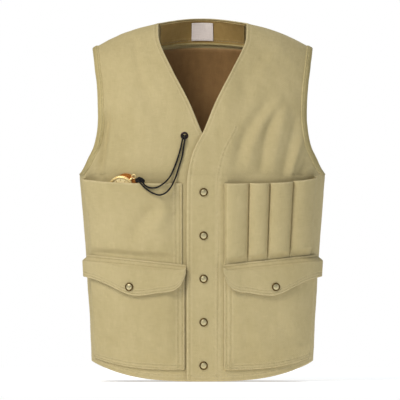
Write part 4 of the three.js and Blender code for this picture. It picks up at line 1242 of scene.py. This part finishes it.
CORD_RADIUS = 1.5
STRAND_ONE = [
    (-34.8, -121.5, 448.4), (-34.9, -126.0, 448.2), (-35.8, -129.6, 444.5),
    (-37.2, -128.8, 438.0), (-39.4, -126.6, 428.0), (-41.6, -126.0, 419.4),
    (-46.1, -125.5, 404.6), (-52.0, -124.7, 389.0), (-58.0, -125.4, 375.5),
    (-64.0, -131.5, 367.5), (-71.0, -138.6, 360.8), (-83.3, -137.4, 353.6),
    (-96.0, -136.8, 353.0), (-105.0, -136.2, 357.5), (-110.2, -134.0, 364.2),
    (-113.2, -129.6, 366.6),
]
STRAND_TWO = [
    (-31.3, -121.5, 448.4), (-31.4, -126.0, 448.2), (-32.0, -129.4, 444.0),
    (-33.0, -128.8, 437.5), (-34.6, -126.6, 427.0), (-37.4, -125.9, 410.0),
    (-41.2, -125.5, 397.0), (-45.0, -125.0, 385.0), (-48.5, -125.6, 374.0),
    (-52.6, -131.0, 364.0), (-57.9, -136.4, 353.9), (-67.5, -138.0, 343.5),
    (-78.6, -137.4, 339.7), (-91.6, -136.6, 343.6), (-103.0, -136.2, 351.0),
    (-111.0, -136.4, 359.0), (-115.8, -134.0, 364.6), (-117.0, -130.0, 366.2),
]
KNOT_MIDDLE = (-114.9, -124.9, 368.4)
KNOT_CORD_RADIUS = 1.45
CORD_BEND_START = (-0.064, -0.13, -0.29)
CORD_BEND_END = (-0.108, -0.13, -0.29)


def loop_of(middle, radius, squash, tilt, turn, count=40):
    """A ring of cord round the knot: a circle flattened one way, tilted and turned."""
    angle = 2.0 * np.pi * np.arange(count) / count
    ring = np.stack([np.cos(angle), np.sin(angle) * squash, 0.12 * np.sin(2 * angle)], axis=-1)
    c, s = math.cos(tilt), math.sin(tilt)
    ring = ring @ np.array([[1, 0, 0], [0, c, s], [0, -s, c]])
    c, s = math.cos(turn), math.sin(turn)
    ring = ring @ np.array([[c, 0, s], [0, 1, 0], [-s, 0, c]])
    return np.array(middle) + ring * radius


def make_knot():
    """The knot as turns of the same cord, pulled tight round each other and the bow."""
    parts = []
    turns = [
        ((0.0, 0.0, 0.0), 3.6, 0.85, 0.2, 0.5), ((0.0, -0.6, 0.3), 3.4, 0.8, 1.2, -0.5),
        ((-0.6, -1.0, -0.2), 3.2, 0.9, 1.5, 1.2), ((0.4, -0.8, 0.4), 3.3, 0.7, 0.7, 2.2),
        ((-3.6, -1.6, -1.8), 3.0, 0.9, 1.3, 0.9), ((-5.6, -1.0, -2.6), 2.4, 0.8, 0.6, 1.7),
        ((3.6, -4.0, -1.2), 2.9, 0.9, 1.4, 1.9), ((6.0, -6.6, -3.0), 2.6, 0.9, 1.5, 2.1),
    ]
    for shift, radius, flat, tilt, turn in turns:
        middle = np.array(KNOT_MIDDLE) + np.array(shift)
        ring = loop_of(middle, radius, flat, tilt, turn)
        parts.append(tube_parts(ring, KNOT_CORD_RADIUS, 12, 0.05, closed=True))
    knot = joined("lanyard_knot_turns", parts)
    return finish(knot, CORD_LOOK, "cord", ["lanyard_knot"], body="instrument")


def add_cords():
    knot = make_knot()
    for index, points in ((1, STRAND_ONE), (2, STRAND_TWO)):
        path = smooth_route(points, 220)
        strand = tube(f"lanyard_cord_{index}", path, CORD_RADIUS, 16, 0.07)
        bend = ("right_front", "instrument", CORD_BEND_START, CORD_BEND_END)
        finish(strand, CORD_LOOK, "cord", [f"lanyard_strand_{index}"], bend=bend)


# ---- Back -------------------------------------------------------------------------------------

LINING_LIFT = -CANVAS - 0.9
NECK_TOP = LENGTH + NECK_RISE
FACING_DROP = 44.0
FACING_HALF_WIDTH = NECK_HALF_WIDTH - 3.0
FACING_LIFT = LINING_LIFT - 0.5
YOKE_LEVEL = 0.80
PIPING_RADIUS = 1.9
PIPING_GAP = 0.4
PIPING_DROP = 1.2


def add_back():
    surface = back_surface()
    columns, rows = np.linspace(0.0, 1.0, 161), panel_rows(100, 90)
    width = 480.0
    lines = [
        ("t", share_line(0.0125)),
        ("t", share_line(YOKE_LEVEL)),
        ("t", share_line(YOKE_LEVEL + 0.011)),
        ("t", share_line(0.985)),
        ("s", lambda t: np.where(t < UNDERARM_LEVEL, 4.5 / width, np.nan)),
        ("s", lambda t: np.where(t < UNDERARM_LEVEL, 1.0 - 4.5 / width, np.nan)),
    ]
    panel = sewn_cloth("back_canvas", surface, columns, rows, CANVAS, lines, edges="abcd")
    finish(panel, CANVAS_LOOK, "canvas", ["back_panel"], body="vest_back")
    declare_cloth(panel)
    sew_on("back_stitching", surface, (columns, rows), lines, {"body": "vest_back"})
    piping_low = float(level_of(0.0, NECK_TOP - FACING_DROP - 6.0, True))
    inside = back_surface(LINING_LIFT, 6.0, piping_low)
    lining = sewn_cloth("back_lining_cloth", inside, columns[::2], rows[::2], LINING, (), "abcd")
    finish(lining, LINING_LOOK, "lining", ["back_lining"], body="vest_back")
    declare_cloth(lining)
    add_neck()


def neck_surface(lift, low, high, half):
    """A strip inside the back neck between two levels and as far as half a width each way."""

    def surface(s, t):
        v = lerp(low, high, t)
        q = girth_of(half * (2.0 * s - 1.0), v)
        return q, v, True, lift + body_relief(q, v, 0)

    return surface


def add_neck():
    low = float(level_of(0.0, NECK_TOP - FACING_DROP, True))
    facing = neck_surface(FACING_LIFT, low, 1.0, FACING_HALF_WIDTH)
    lines = [("t", share_line(0.06)), ("t", share_line(0.95))]
    columns, rows = np.linspace(0.0, 1.0, 81), np.linspace(0.0, 1.0, 41)
    strip = sewn_cloth("neck_facing_cloth", facing, columns, rows, LINING, lines, "abcd")
    finish(strip, FACING_LOOK, "facing", ["neck_facing"], body="vest_back")
    declare_cloth(strip)
    face = neck_surface(FACING_LIFT - LINING, low, 1.0, FACING_HALF_WIDTH)
    ride = {"body": "vest_back"}
    sew_on("neck_facing_stitching", face, (columns, rows), lines, ride, "facing")
    edge = neck_surface(FACING_LIFT - LINING - PIPING_GAP, low, 1.0, FACING_HALF_WIDTH)
    share = np.linspace(0.0, 1.0, 160)
    path = skin_points(edge, share, np.zeros(160)) - np.array([0.0, 0.0, PIPING_DROP])
    piping = tube("neck_piping_roll", path, PIPING_RADIUS, 14)
    finish(piping, PIPING_LOOK, "facing", ["neck_piping"], body="vest_back")
    add_label()


LABEL_WIDTH = 42.0
LABEL_CLOTH = 0.6
LABEL_HEIGHT = 34.0


def add_label():
    """A plain woven label, stitched on all round and a little proud in the middle."""
    top = float(level_of(0.0, NECK_TOP - 5.0, True))
    low = float(level_of(0.0, NECK_TOP - 5.0 - LABEL_HEIGHT, True))
    plain = neck_surface(FACING_LIFT - LINING - 1.1, low, top, LABEL_WIDTH / 2)

    def surface(s, t):
        q, v, back, offset = plain(s, t)
        crown = np.sin(np.pi * s) * np.sin(np.pi * t)
        return q, v, back, offset - 0.7 * crown

    columns = np.linspace(0.0, 1.0, 49)
    label = sewn_cloth("neck_label_cloth", surface, columns, columns[::2], LABEL_CLOTH, (), "abcd")
    finish(label, LABEL_LOOK, "label", ["neck_label"], body="vest_back")
    declare_cloth(label)
    lines = [
        ("s", share_line(0.045)),
        ("s", share_line(0.955)),
        ("t", share_line(0.055)),
        ("t", share_line(0.945)),
    ]

    def face(s, t):
        q, v, back, offset = surface(s, t)
        return q, v, back, offset - 0.65

    ride = {"body": "vest_back"}
    sew_on("neck_label_stitching", face, (columns, columns), lines, ride, "label", LABEL_THREAD_LOOK)


# ---- Fronts -----------------------------------------------------------------------------------

FACING_WIDTH = 56.0
FACING_TOP = {-1: 0.02, 1: 0.66}  # level at which the facing's stitching ends
LINING_FIRST = 4.0 / 11.0


def front_lines(side):
    """Seam lines of a front: along its inner edge, the facing behind the snaps, hem, shoulder and
    side seam."""
    return [
        ("s", margin_line(side, 4.5)),
        ("t", share_line(0.0125)),
        ("t", share_line(0.985)),
        ("s", lambda t: np.where(t < UNDERARM_LEVEL, 1.0 - 4.5 / 260.0, np.nan)),
        ("s", column_line(side, lambda t: front_girth(t, side, FACING_WIDTH), 0.0, FACING_TOP[side])),
    ]


def add_front(side):
    word = WORD[side]
    surface = front_surface(side)
    columns, rows = np.linspace(0.0, 1.0, 101), panel_rows(118, 96)
    lines = front_lines(side)
    panel = sewn_cloth(f"{word}_front_canvas", surface, columns, rows, CANVAS, lines, "abcd")
    finish(panel, CANVAS_LOOK, "canvas", [f"{word}_front_panel"], bend=swing(side))
    declare_cloth(panel)
    sew_on(f"{word}_front_stitching", surface, (columns, rows), lines, {"bend": swing(side)})
    inside = front_surface(side, LINING_LIFT, LINING_FIRST, 6.0)
    lining = sewn_cloth(f"{word}_front_lining_cloth", inside, columns[::2], rows[::2], LINING, (), "abcd")
    finish(lining, LINING_LOOK, "lining", [f"{word}_front_lining"], bend=swing(side))
    declare_cloth(lining)


BINDING_STEPS = 11
BINDING_CLOTH = 1.2


def binding_surface(side, back):
    """A folded strip along the armhole: high in its middle and down to the canvas at both edges."""

    def surface(s, t):
        v = lerp(UNDERARM_LEVEL + 0.0004, 1.0, t)
        q = side * armhole_girth(v, back, lerp(BINDING_WIDTH, -0.9, s))
        fold_side = 0 if back else side
        crown = 0.75 + 1.15 * np.clip(np.sin(np.pi * np.clip(s, 0.0, 1.0)), 0.0, 1.0) ** 0.55
        return q, v, back, crown + body_relief(q, v, fold_side)

    return surface


def add_binding(side, back):
    word, part = WORD[side], "back" if back else "front"
    surface = binding_surface(side, back)
    columns = np.linspace(0.0, 1.0, BINDING_STEPS)
    rows = np.linspace(0.0, 1.0, 190) ** 1.35
    lines = [("s", share_line(0.2))]
    strip = sewn_cloth(f"{word}_{part}_binding_strip", surface, columns, rows, BINDING_CLOTH, lines, "ab")
    bend = None if back else swing(side)
    finish(strip, BINDING_LOOK, "binding", [f"{word}_{part}_binding"], "vest_back", bend)
    ride = {"body": "vest_back", "bend": bend}
    sew_on(f"{word}_{part}_binding_stitching", surface, (columns, rows), lines, ride, "binding")


# ---- Pockets and flaps ------------------------------------------------------------------------

SEAM_INNER = 209.0
SEAM_OUTER = 228.0
MOUTH_HEIGHT = 361.0
POCKET_FOOT = 21.0
POCKET_FOOT_RISE = 22.0
CHEST_MOUTH_RISE = 10.0
TUBE_MOUTH_RISE = 12.0
POCKET_MARGINS = (2.2, 7.5)
TUBE_MARGIN = 1.6
LOWER_INNER = {-1: 33.0, 1: 40.0}
FLAP_INNER = {-1: 30.0, 1: 38.0}
POCKET_REACH = 0.76
FLAP_SEAM_TO_POCKET = 19.0
POCKET_CLOTH = 2.0
FLAP_CLOTH = 1.8
CHEST_POCKET_DEPTH = 13.5
TUBE_DEPTH = 12.5
LOWER_POCKET_DEPTH = 8.0
FLAP_ROOT = 4.8
FLAP_CLEARANCE = 3.8
FLAP_LIFT = POCKET_GAP + LOWER_POCKET_DEPTH + POCKET_CLOTH + FLAP_CLEARANCE
FLAP_ABOVE_SEAM = 2.5
FLAP_DROP_MIDDLE = 62.0


def seam_height(t):
    return lerp(SEAM_INNER, SEAM_OUTER, t)


def pocket_share(side, shape, u, middle):
    """Girth at column u, and the share of the width at which it is seen from in front."""
    inner = girth_of(np.array(side * shape["inner_x"]), middle)
    q = lerp(inner, side * shape["reach"], u)
    span = section_x(np.array(side * shape["reach"])) - section_x(inner)
    return q, (section_x(q) - section_x(inner)) / span


def pocket_surface(side, shape, relief):
    """A sheet on a front from its inner side, u = 0, and bottom, w = 0, standing off the front by
    the shape's own standoff, with relief(x, z) as its folds."""
    bottom, top = shape["bottom"], shape["top"]
    half = np.array(0.5)

    def surface(u, w):
        u, w = np.broadcast_arrays(np.asarray(u, float), np.asarray(w, float))
        middle = level_of(np.full(w.shape, side * 120.0), lerp(bottom(half), top(half), w))
        q, t = pocket_share(side, shape, u, middle)
        z = lerp(bottom(t), top(t), w)
        x = half_width(middle) * section_x(q)
        v = level_of(x, z)
        points = body_point(q, v, False)
        lift = POCKET_GAP + lap_lift(x, side) + shape["cloth"] + shape["standoff"](u, w)
        held = smooth(0.0, 0.05, u) * smooth(0.0, 0.05, 1.0 - u) * smooth(0.0, 0.06, w)
        return q, v, False, lift + 0.8 * drape(points) + relief(points[..., 0], points[..., 2]) * held

    return surface


def fold_sum(folds):
    return lambda x, z: sum(crease(x, z, *fold) for fold in folds) + 0.0 * x


def chest_standoff(u, w):
    """Full depth along the mouth and less lower down, rising from the stitched sides and seam."""
    sides = smooth(0.0, 0.13, u) * smooth(0.0, 0.13, 1.0 - u)
    slack = lerp(0.40, 1.0, smooth(0.35, 0.93, w))
    return CHEST_POCKET_DEPTH * sides * slack * smooth(0.0, 0.15, w)


def lower_standoff(u, w):
    sides = smooth(0.0, 0.12, u) * smooth(0.0, 0.12, 1.0 - u)
    return LOWER_POCKET_DEPTH * sides * smooth(0.0, 0.2, w) * lerp(0.8, 1.0, smooth(0.3, 1.0, w))


TUBE_EDGES = np.array([0.0, 0.18, 0.36, 0.62, 1.0])


def tube_standoff(u, w):
    """Four half rounds side by side, fullest in their middles, closed at the bottom."""
    index = np.clip(np.searchsorted(TUBE_EDGES, u, side="right") - 1, 0, 3)
    low, high = TUBE_EDGES[index], TUBE_EDGES[index + 1]
    t = np.clip((u - low) / (high - low), 0.0, 1.0)
    arch = np.maximum(0.0, 1.0 - np.abs(2.0 * t - 1.0) ** 2.3) ** 0.55
    return TUBE_DEPTH * arch * smooth(0.0, 0.12, w) * lerp(0.92, 1.0, smooth(0.5, 1.0, w))


flap_drop = through(
    [
        (0, 14.4), (0.04, 30.6), (0.12, 45), (0.29, 53.3), (0.5, 62), (0.62, 60.1), (0.77, 49),
        (0.9, 39.6), (1, 36),
    ]
)


def flap_standoff(u, w):
    below = (1.0 - w) * (FLAP_DROP_MIDDLE + FLAP_ABOVE_SEAM)
    rise = smooth(2.0, FLAP_SEAM_TO_POCKET - 1.0, below)
    return FLAP_ROOT - POCKET_GAP + (FLAP_LIFT - FLAP_ROOT) * rise


CHEST_POCKET = {
    "inner_x": 38.0,
    "reach": 0.74,
    "bottom": lambda t: seam_height(t) + 1.5,
    "top": lambda t: MOUTH_HEIGHT + CHEST_MOUTH_RISE * t**4,
    "cloth": POCKET_CLOTH,
    "standoff": chest_standoff,
}
TUBE_POCKET = {
    "inner_x": 40.0,
    "reach": 0.65,
    "bottom": lambda t: seam_height(t) + 1.5,
    "top": lambda t: MOUTH_HEIGHT + TUBE_MOUTH_RISE * t**4,
    "cloth": POCKET_CLOTH,
    "standoff": tube_standoff,
}


def lower_pocket(inner_x):
    return {
        "inner_x": inner_x,
        "reach": POCKET_REACH,
        "bottom": lambda t: POCKET_FOOT + POCKET_FOOT_RISE * t**3,
        "top": lambda t: seam_height(t) - FLAP_SEAM_TO_POCKET,
        "cloth": POCKET_CLOTH,
        "standoff": lower_standoff,
    }


def flap(inner_x):
    return {
        "inner_x": inner_x,
        "reach": POCKET_REACH + 0.005,
        "bottom": lambda t: seam_height(t) - flap_drop(t),
        "top": lambda t: seam_height(t) + FLAP_ABOVE_SEAM,
        "cloth": FLAP_CLOTH,
        "standoff": flap_standoff,
    }


def ends_close(count):
    """Columns from 0 to 1 that are closer together at both ends."""
    k = np.linspace(0.0, 1.0, count)
    return 0.55 * k + 0.45 * (0.5 - 0.5 * np.cos(np.pi * k))


def arc_width(surface):
    share = np.linspace(0.0, 1.0, 120)
    return float(running_length(skin_points(surface, share, np.full(120, 0.5)), 0)[-1])


def arc_height(surface, share=0.5):
    t = np.linspace(0.0, 1.0, 120)
    return float(running_length(skin_points(surface, np.full(120, share), t), 0)[-1])


def outline(surface, margins, sides):
    """Seam lines at the given margins from the named sides: a inner, b outer, c bottom, d top."""
    width, height = arc_width(surface), arc_height(surface)
    lines = []
    for margin in margins:
        share_s, share_t = margin / width, margin / height
        places = {
            "a": ("s", share_line(share_s)),
            "b": ("s", share_line(1.0 - share_s)),
            "c": ("t", share_line(share_t)),
            "d": ("t", share_line(1.0 - share_t)),
        }
        lines.extend(places[key] for key in sides)
    return lines


def add_pocket(name, node, side, shape, folds, lines, columns, rows):
    surface = pocket_surface(side, shape, fold_sum(folds))
    lines = lines(surface)
    piece = sewn_cloth(name, surface, columns, rows, shape["cloth"], lines, "abcd")
    finish(piece, CANVAS_LOOK, "canvas", [node], body=FRONT_BODY[side])
    declare_cloth(piece)
    sew_on(f"{name}_stitching", surface, (columns, rows), lines, {"body": FRONT_BODY[side]})


def add_pockets():
    columns, rows = ends_close(91), ends_close(71)
    add_pocket(
        "right_chest_pocket_canvas",
        "right_chest_pocket",
        -1,
        CHEST_POCKET,
        CHEST_FOLDS,
        lambda surface: outline(surface, POCKET_MARGINS, "ab"),
        columns,
        rows,
    )
    tubes = [lerp(a, b, ends_close(36)) for a, b in zip(TUBE_EDGES, TUBE_EDGES[1:])]
    across = np.unique(np.concatenate(tubes))
    add_pocket(
        "left_tube_pocket_canvas",
        "left_tube_pocket",
        1,
        TUBE_POCKET,
        [],
        lambda surface: outline(surface, (TUBE_MARGIN,), "ab")
        + [("s", share_line(edge)) for edge in TUBE_EDGES[1:-1]],
        across,
        rows,
    )
    for side, inner_x in LOWER_INNER.items():
        add_pocket(
            f"{WORD[side]}_lower_pocket_canvas",
            f"{WORD[side]}_lower_pocket",
            side,
            lower_pocket(inner_x),
            LOWER_FOLDS[side],
            lambda surface: outline(surface, POCKET_MARGINS, "abc"),
            columns,
            rows,
        )


FLAP_HINGE = {-1: (-0.12996, -0.11158, -0.43299), 1: (0.13401, -0.11122, -0.43297)}
FLAP_BEND_ABOVE = 0.001
FLAP_BEND_BELOW = 0.016


def add_flap(side, inner_x):
    word = WORD[side]
    shape = flap(inner_x)
    surface = pocket_surface(side, shape, lambda x, z: 0.0 * x)
    columns, rows = ends_close(91), ends_close(41)

    def drop(u):
        """Height of the flap at column u."""
        _, t = pocket_share(side, shape, u, np.array(0.27))
        return flap_drop(t) + FLAP_ABOVE_SEAM

    lines = outline(surface, (3.0,), "b")
    lines += [("t", lambda u: 3.0 / drop(u)), ("t", lambda u: 8.0 / drop(u))]
    lines += [("t", lambda u: 1.0 - 3.0 / drop(u)), ("t", lambda u: 1.0 - 9.0 / drop(u))]
    piece = sewn_cloth(f"{word}_flap_canvas", surface, columns, rows, FLAP_CLOTH, lines, "abcd")
    x, y, z = FLAP_HINGE[side]
    bend = (FRONT_BODY[side], f"{word}_flap_body", (x, y, z + FLAP_BEND_ABOVE), (x, y, z - FLAP_BEND_BELOW))
    finish(piece, CANVAS_LOOK, "canvas", [f"{word}_flap"], bend=bend)
    declare_cloth(piece)
    sew_on(f"{word}_flap_stitching", surface, (columns, rows), lines, {"bend": bend})


# ---- Snaps, eyelet and instrument -------------------------------------------------------------

METAL_GAP = 0.3
BACKING_GAP = 0.5
CAP_RADIUS = 7.75
CAP_HEIGHT = 2.4
CAP_PROFILE = rounded(
    [
        (0, 0), (CAP_RADIUS - 0.5, 0), (CAP_RADIUS, 0.5), (CAP_RADIUS, 1.3),
        (CAP_RADIUS - 0.9, CAP_HEIGHT - 0.1), (CAP_RADIUS - 1.9, CAP_HEIGHT - 0.1),
        (CAP_RADIUS - 2.3, CAP_HEIGHT - 0.9), (CAP_RADIUS - 2.8, CAP_HEIGHT - 0.8),
        (CAP_RADIUS * 0.35, CAP_HEIGHT), (0, CAP_HEIGHT),
    ],
    0.5,
)
SOCKET_RADIUS = 5.6
SOCKET_HEIGHT = 1.2
NUB_RADIUS = 1.9
SOCKET_PROFILE = rounded(
    [
        (NUB_RADIUS + 0.4, 0.4), (NUB_RADIUS + 0.4, 0), (SOCKET_RADIUS, 0),
        (SOCKET_RADIUS - 0.4, SOCKET_HEIGHT), (NUB_RADIUS + 0.4, SOCKET_HEIGHT),
        (NUB_RADIUS + 0.4, 0.4),
    ],
    0.25,
)
STUD_PROFILE = rounded(
    [
        (0, 0), (5.6, 0), (5.4, 0.5), (NUB_RADIUS, 0.5), (NUB_RADIUS, 1.2), (0, 1.2),
    ],
    0.25,
)
POST_HEIGHT = 0.8
POST_PROFILE = rounded([(0, 0), (5.3, 0), (5.6, POST_HEIGHT), (0, POST_HEIGHT)], 0.3)


def add_snap(name, x, z, top_inner, top_cloth, base_inner, base_cloth, top_body, base_body):
    """Four parts of a snap: cap and socket on the upper cloth, stud and post on the lower one."""
    cap = front_frame(x, z, top_inner + top_cloth + METAL_GAP)
    socket = front_frame(x, z, top_inner - BACKING_GAP - SOCKET_HEIGHT)
    stud = front_frame(x, z, base_inner + base_cloth + METAL_GAP)
    post = front_frame(x, z, base_inner - BACKING_GAP - POST_HEIGHT)
    made = [
        ("cap", CAP_PROFILE, cap, top_body, 64),
        ("socket", SOCKET_PROFILE, socket, top_body, 40),
        ("stud", STUD_PROFILE, stud, base_body, 40),
        ("post", POST_PROFILE, post, base_body, 40),
    ]
    for part, profile, place, body, sides in made:
        piece = turned(f"{name}_{part}_metal", profile, place, sides)
        finish(piece, SNAP_LOOK, "snap_metal", [f"{name}_{part}"], body=body)


def add_snaps():
    for index, z in enumerate(snap_heights):
        name = f"placket_{index + 1}"
        lift = LAP_LIFT - CANVAS
        add_snap(name, SNAP_X, z, lift, CANVAS, -CANVAS, CANVAS, "left_front", "right_front")
    for side in (-1, 1):
        face = POCKET_GAP + LOWER_POCKET_DEPTH
        add_snap(
            f"{WORD[side]}_flap",
            side * FLAP_SNAP_X,
            FLAP_SNAP_HEIGHT,
            FLAP_LIFT,
            FLAP_CLOTH,
            face,
            POCKET_CLOTH,
            f"{WORD[side]}_flap_body",
            FRONT_BODY[side],
        )


EYELET_RADIUS = 7.4
EYELET_HOLE = 3.6
EYELET_BARREL = 4.2
EYELET_RISE = 1.3


def add_eyelet():
    place = front_frame(EYELET_X, EYELET_HEIGHT, 0.0)
    profile = [
        (EYELET_HOLE, -1.0), (EYELET_HOLE, -CANVAS), (EYELET_BARREL, -CANVAS),
        (EYELET_BARREL, METAL_GAP), (EYELET_RADIUS, METAL_GAP),
        (EYELET_RADIUS - 1.2, EYELET_RISE), (EYELET_HOLE + 0.5, EYELET_RISE),
        (EYELET_HOLE, EYELET_RISE - 0.5), (EYELET_HOLE, -1.0),
    ]
    ring = turned("eyelet_ring", rounded(profile, 0.5), place, 64)
    finish(ring, EYELET_LOOK, "snap_metal", ["eyelet"], body="right_front")
    top = -CANVAS - BACKING_GAP - METAL_GAP
    profile = [
        (EYELET_HOLE, top - 0.4),
        (EYELET_HOLE, top - 0.8),
        (EYELET_RADIUS - 0.5, top - 0.8),
        (EYELET_RADIUS - 0.5, top),
        (EYELET_HOLE, top),
        (EYELET_HOLE, top - 0.4),
    ]
    washer = turned("eyelet_washer_ring", rounded(profile, 0.2), place, 64)
    finish(washer, EYELET_LOOK, "snap_metal", ["eyelet_washer"], body="right_front")


DISC_RADIUS = 24.5
DISC_X = -147.5
DISC_HEIGHT = 351.0
DISC_STANDOFF = 2.0
CASE = 5.0
WALL = 2.0
CROWN_ANGLE = math.radians(43.0)
LID_SHIFT = (8.5, 6.5)


def instrument_place(right=0.0, up=0.0, out=0.0):
    origin, axes = front_frame(DISC_X, DISC_HEIGHT, DISC_STANDOFF)
    return origin + np.array([right, up, out]) @ axes, axes


def brass(name, profile, place, node, radius=0.4, look=None, slot="brass", sides=96):
    piece = turned(name, rounded(profile, radius), place, sides)
    return finish(piece, look or BRASS_LOOK, slot, [node], body="instrument")


def add_instrument():
    """Case, bezel, pale face with plain marks, shifted lid, knurled crown and bow."""
    place = instrument_place()
    floor = CASE - 2.0
    case = [
        (0, 0), (DISC_RADIUS - 3, 0), (DISC_RADIUS, 1.5), (DISC_RADIUS, CASE),
        (DISC_RADIUS - WALL, CASE),
        (DISC_RADIUS - WALL, floor),
        (0, floor),
    ]
    brass("instrument_case_brass", case, place, "instrument_case", 0.6)
    low, inner = CASE + METAL_GAP, DISC_RADIUS - WALL - 2.0
    bezel = [
        (inner + 0.2, low + 0.5),
        (inner, low),
        (DISC_RADIUS, low),
        (DISC_RADIUS - 0.3, low + 0.9),
        (DISC_RADIUS - 1.0, low + 1.6),
        (DISC_RADIUS - 1.9, low + 1.6),
        (DISC_RADIUS - 2.2, low + 1.1),
        (DISC_RADIUS - 2.6, low + 1.6),
        (inner + 0.5, low + 1.6),
        (inner + 0.2, low + 0.5),
    ]
    brass("instrument_bezel_brass", bezel, place, "instrument_bezel", 0.3)
    dial_radius = DISC_RADIUS - WALL - METAL_GAP
    base = floor + METAL_GAP
    dial = [(0, base), (dial_radius, base), (dial_radius, base + 0.8), (0, base + 0.8)]
    brass("instrument_dial_card", dial, place, "instrument_dial", 0.2, DIAL_LOOK, "dial")
    add_dial_marks(place, base + 0.8)
    lid_radius = DISC_RADIUS - 2.5
    lid = [
        (0, -METAL_GAP - 1.2),
        (lid_radius - 0.6, -METAL_GAP - 1.2),
        (lid_radius, -METAL_GAP),
        (0, -METAL_GAP),
    ]
    lid_place = instrument_place(*LID_SHIFT)
    brass("instrument_lid_copper", lid, lid_place, "instrument_lid", 0.3, COPPER_LOOK, "copper")
    add_crown_and_bow()


MARKS = 12


def add_dial_marks(place, height):
    """Twelve short raised bars round the dial, all alike."""
    origin, axes = place
    parts = []
    corner = np.array([[x, y, z] for z in (0, 1) for x, y in ((0, 0), (1, 0), (1, 1), (0, 1))], float)
    sizes = np.array([3.2, 0.8, 0.3])
    faces = np.array([[0, 3, 2, 1], [4, 5, 6, 7], [0, 1, 5, 4], [1, 2, 6, 5], [2, 3, 7, 6], [3, 0, 4, 7]])
    for index in range(MARKS):
        angle = 2.0 * math.pi * index / MARKS
        local = corner * sizes + np.array([14.5, -0.4, height])
        c, s = math.cos(angle), math.sin(angle)
        local = local @ np.array([[c, s, 0], [-s, c, 0], [0, 0, 1]])
        parts.append((origin + local @ axes, [faces], [np.zeros((6, 4, 2))]))
    marks = joined("instrument_dial_marks", parts)
    finish(marks, MARK_LOOK, "dial", body="instrument")


CROWN_RADIUS = 2.4
CROWN_LENGTH = 4.0
BOW_WIRE = 0.9
BOW_RADIUS = 3.6


def add_crown_and_bow():
    """The crown is turned about a line out of the case's side, and the bow is a ring beyond it."""
    middle = DISC_RADIUS + METAL_GAP + CROWN_LENGTH / 2
    direction = (math.cos(CROWN_ANGLE), math.sin(CROWN_ANGLE))
    origin, axes = instrument_place(middle * direction[0], middle * direction[1], CASE / 2)
    out = axes[0] * direction[0] + axes[1] * direction[1]
    side = np.cross(out, axes[2])
    half = CROWN_LENGTH / 2
    heights = [lerp(-half + 0.5, half - 0.5, k / 8) for k in range(9)]
    ridged = [(CROWN_RADIUS - (0.0 if k % 2 else 0.25), height) for k, height in enumerate(heights)]
    profile = [(0, -half), (CROWN_RADIUS - 0.3, -half), *ridged, (CROWN_RADIUS - 0.3, half), (0, half)]
    frame_axes = np.stack([side, axes[2], out])
    brass("instrument_crown_brass", profile, (origin, frame_axes), "instrument_crown", 0.15, sides=40)
    reach = middle + half + METAL_GAP + BOW_RADIUS + BOW_WIRE
    centre, axes = instrument_place(reach * direction[0], reach * direction[1], CASE / 2)
    angle = 2.0 * np.pi * np.arange(48) / 48
    ring = np.stack([np.cos(angle), np.sin(angle), 0.0 * angle], axis=-1) * BOW_RADIUS
    bow = tube("instrument_bow_brass", centre + ring @ axes, BOW_WIRE, 16, closed=True)
    finish(bow, BRASS_LOOK, "brass", ["instrument_bow"], body="instrument")


# ---- Floor ------------------------------------------------------------------------------------

FLOOR_GAP = 0.002
FLOOR_HALF = 1.5
FLOOR_GLOW = 0.5


def add_floor():
    """A plain pale floor just under the hem."""
    low = float(cad_box[0][2]) - FLOOR_GAP
    x = np.array([-FLOOR_HALF, FLOOR_HALF, FLOOR_HALF, -FLOOR_HALF])
    y = np.array([-FLOOR_HALF, -FLOOR_HALF, FLOOR_HALF, FLOOR_HALF])
    points = np.stack([x, y, np.full(4, low)], axis=-1)
    floor = build("studio_floor", points, [np.array([[0, 1, 2, 3]])])
    material, _, shader = new_material("studio_floor_paint", Roughness=0.9)
    shader.inputs["Base Color"].default_value = (0.93, 0.93, 0.93, 1.0)
    shader.inputs["Specular IOR Level"].default_value = 0.1
    shader.inputs["Emission Color"].default_value = (1.0, 1.0, 1.0, 1.0)
    shader.inputs["Emission Strength"].default_value = FLOOR_GLOW
    floor.data.materials.append(material)


# ---- The whole vest ---------------------------------------------------------------------------

add_camera()
add_cords()
add_studio()
add_back()
for front in (-1, 1):
    add_front(front)
    add_binding(front, False)
    add_binding(front, True)
add_pockets()
for flap_side, flap_inner in FLAP_INNER.items():
    add_flap(flap_side, flap_inner)
add_snaps()
add_eyelet()
add_instrument()
add_floor()


def plain(box):
    return [[float(number) for number in corner] for corner in box]
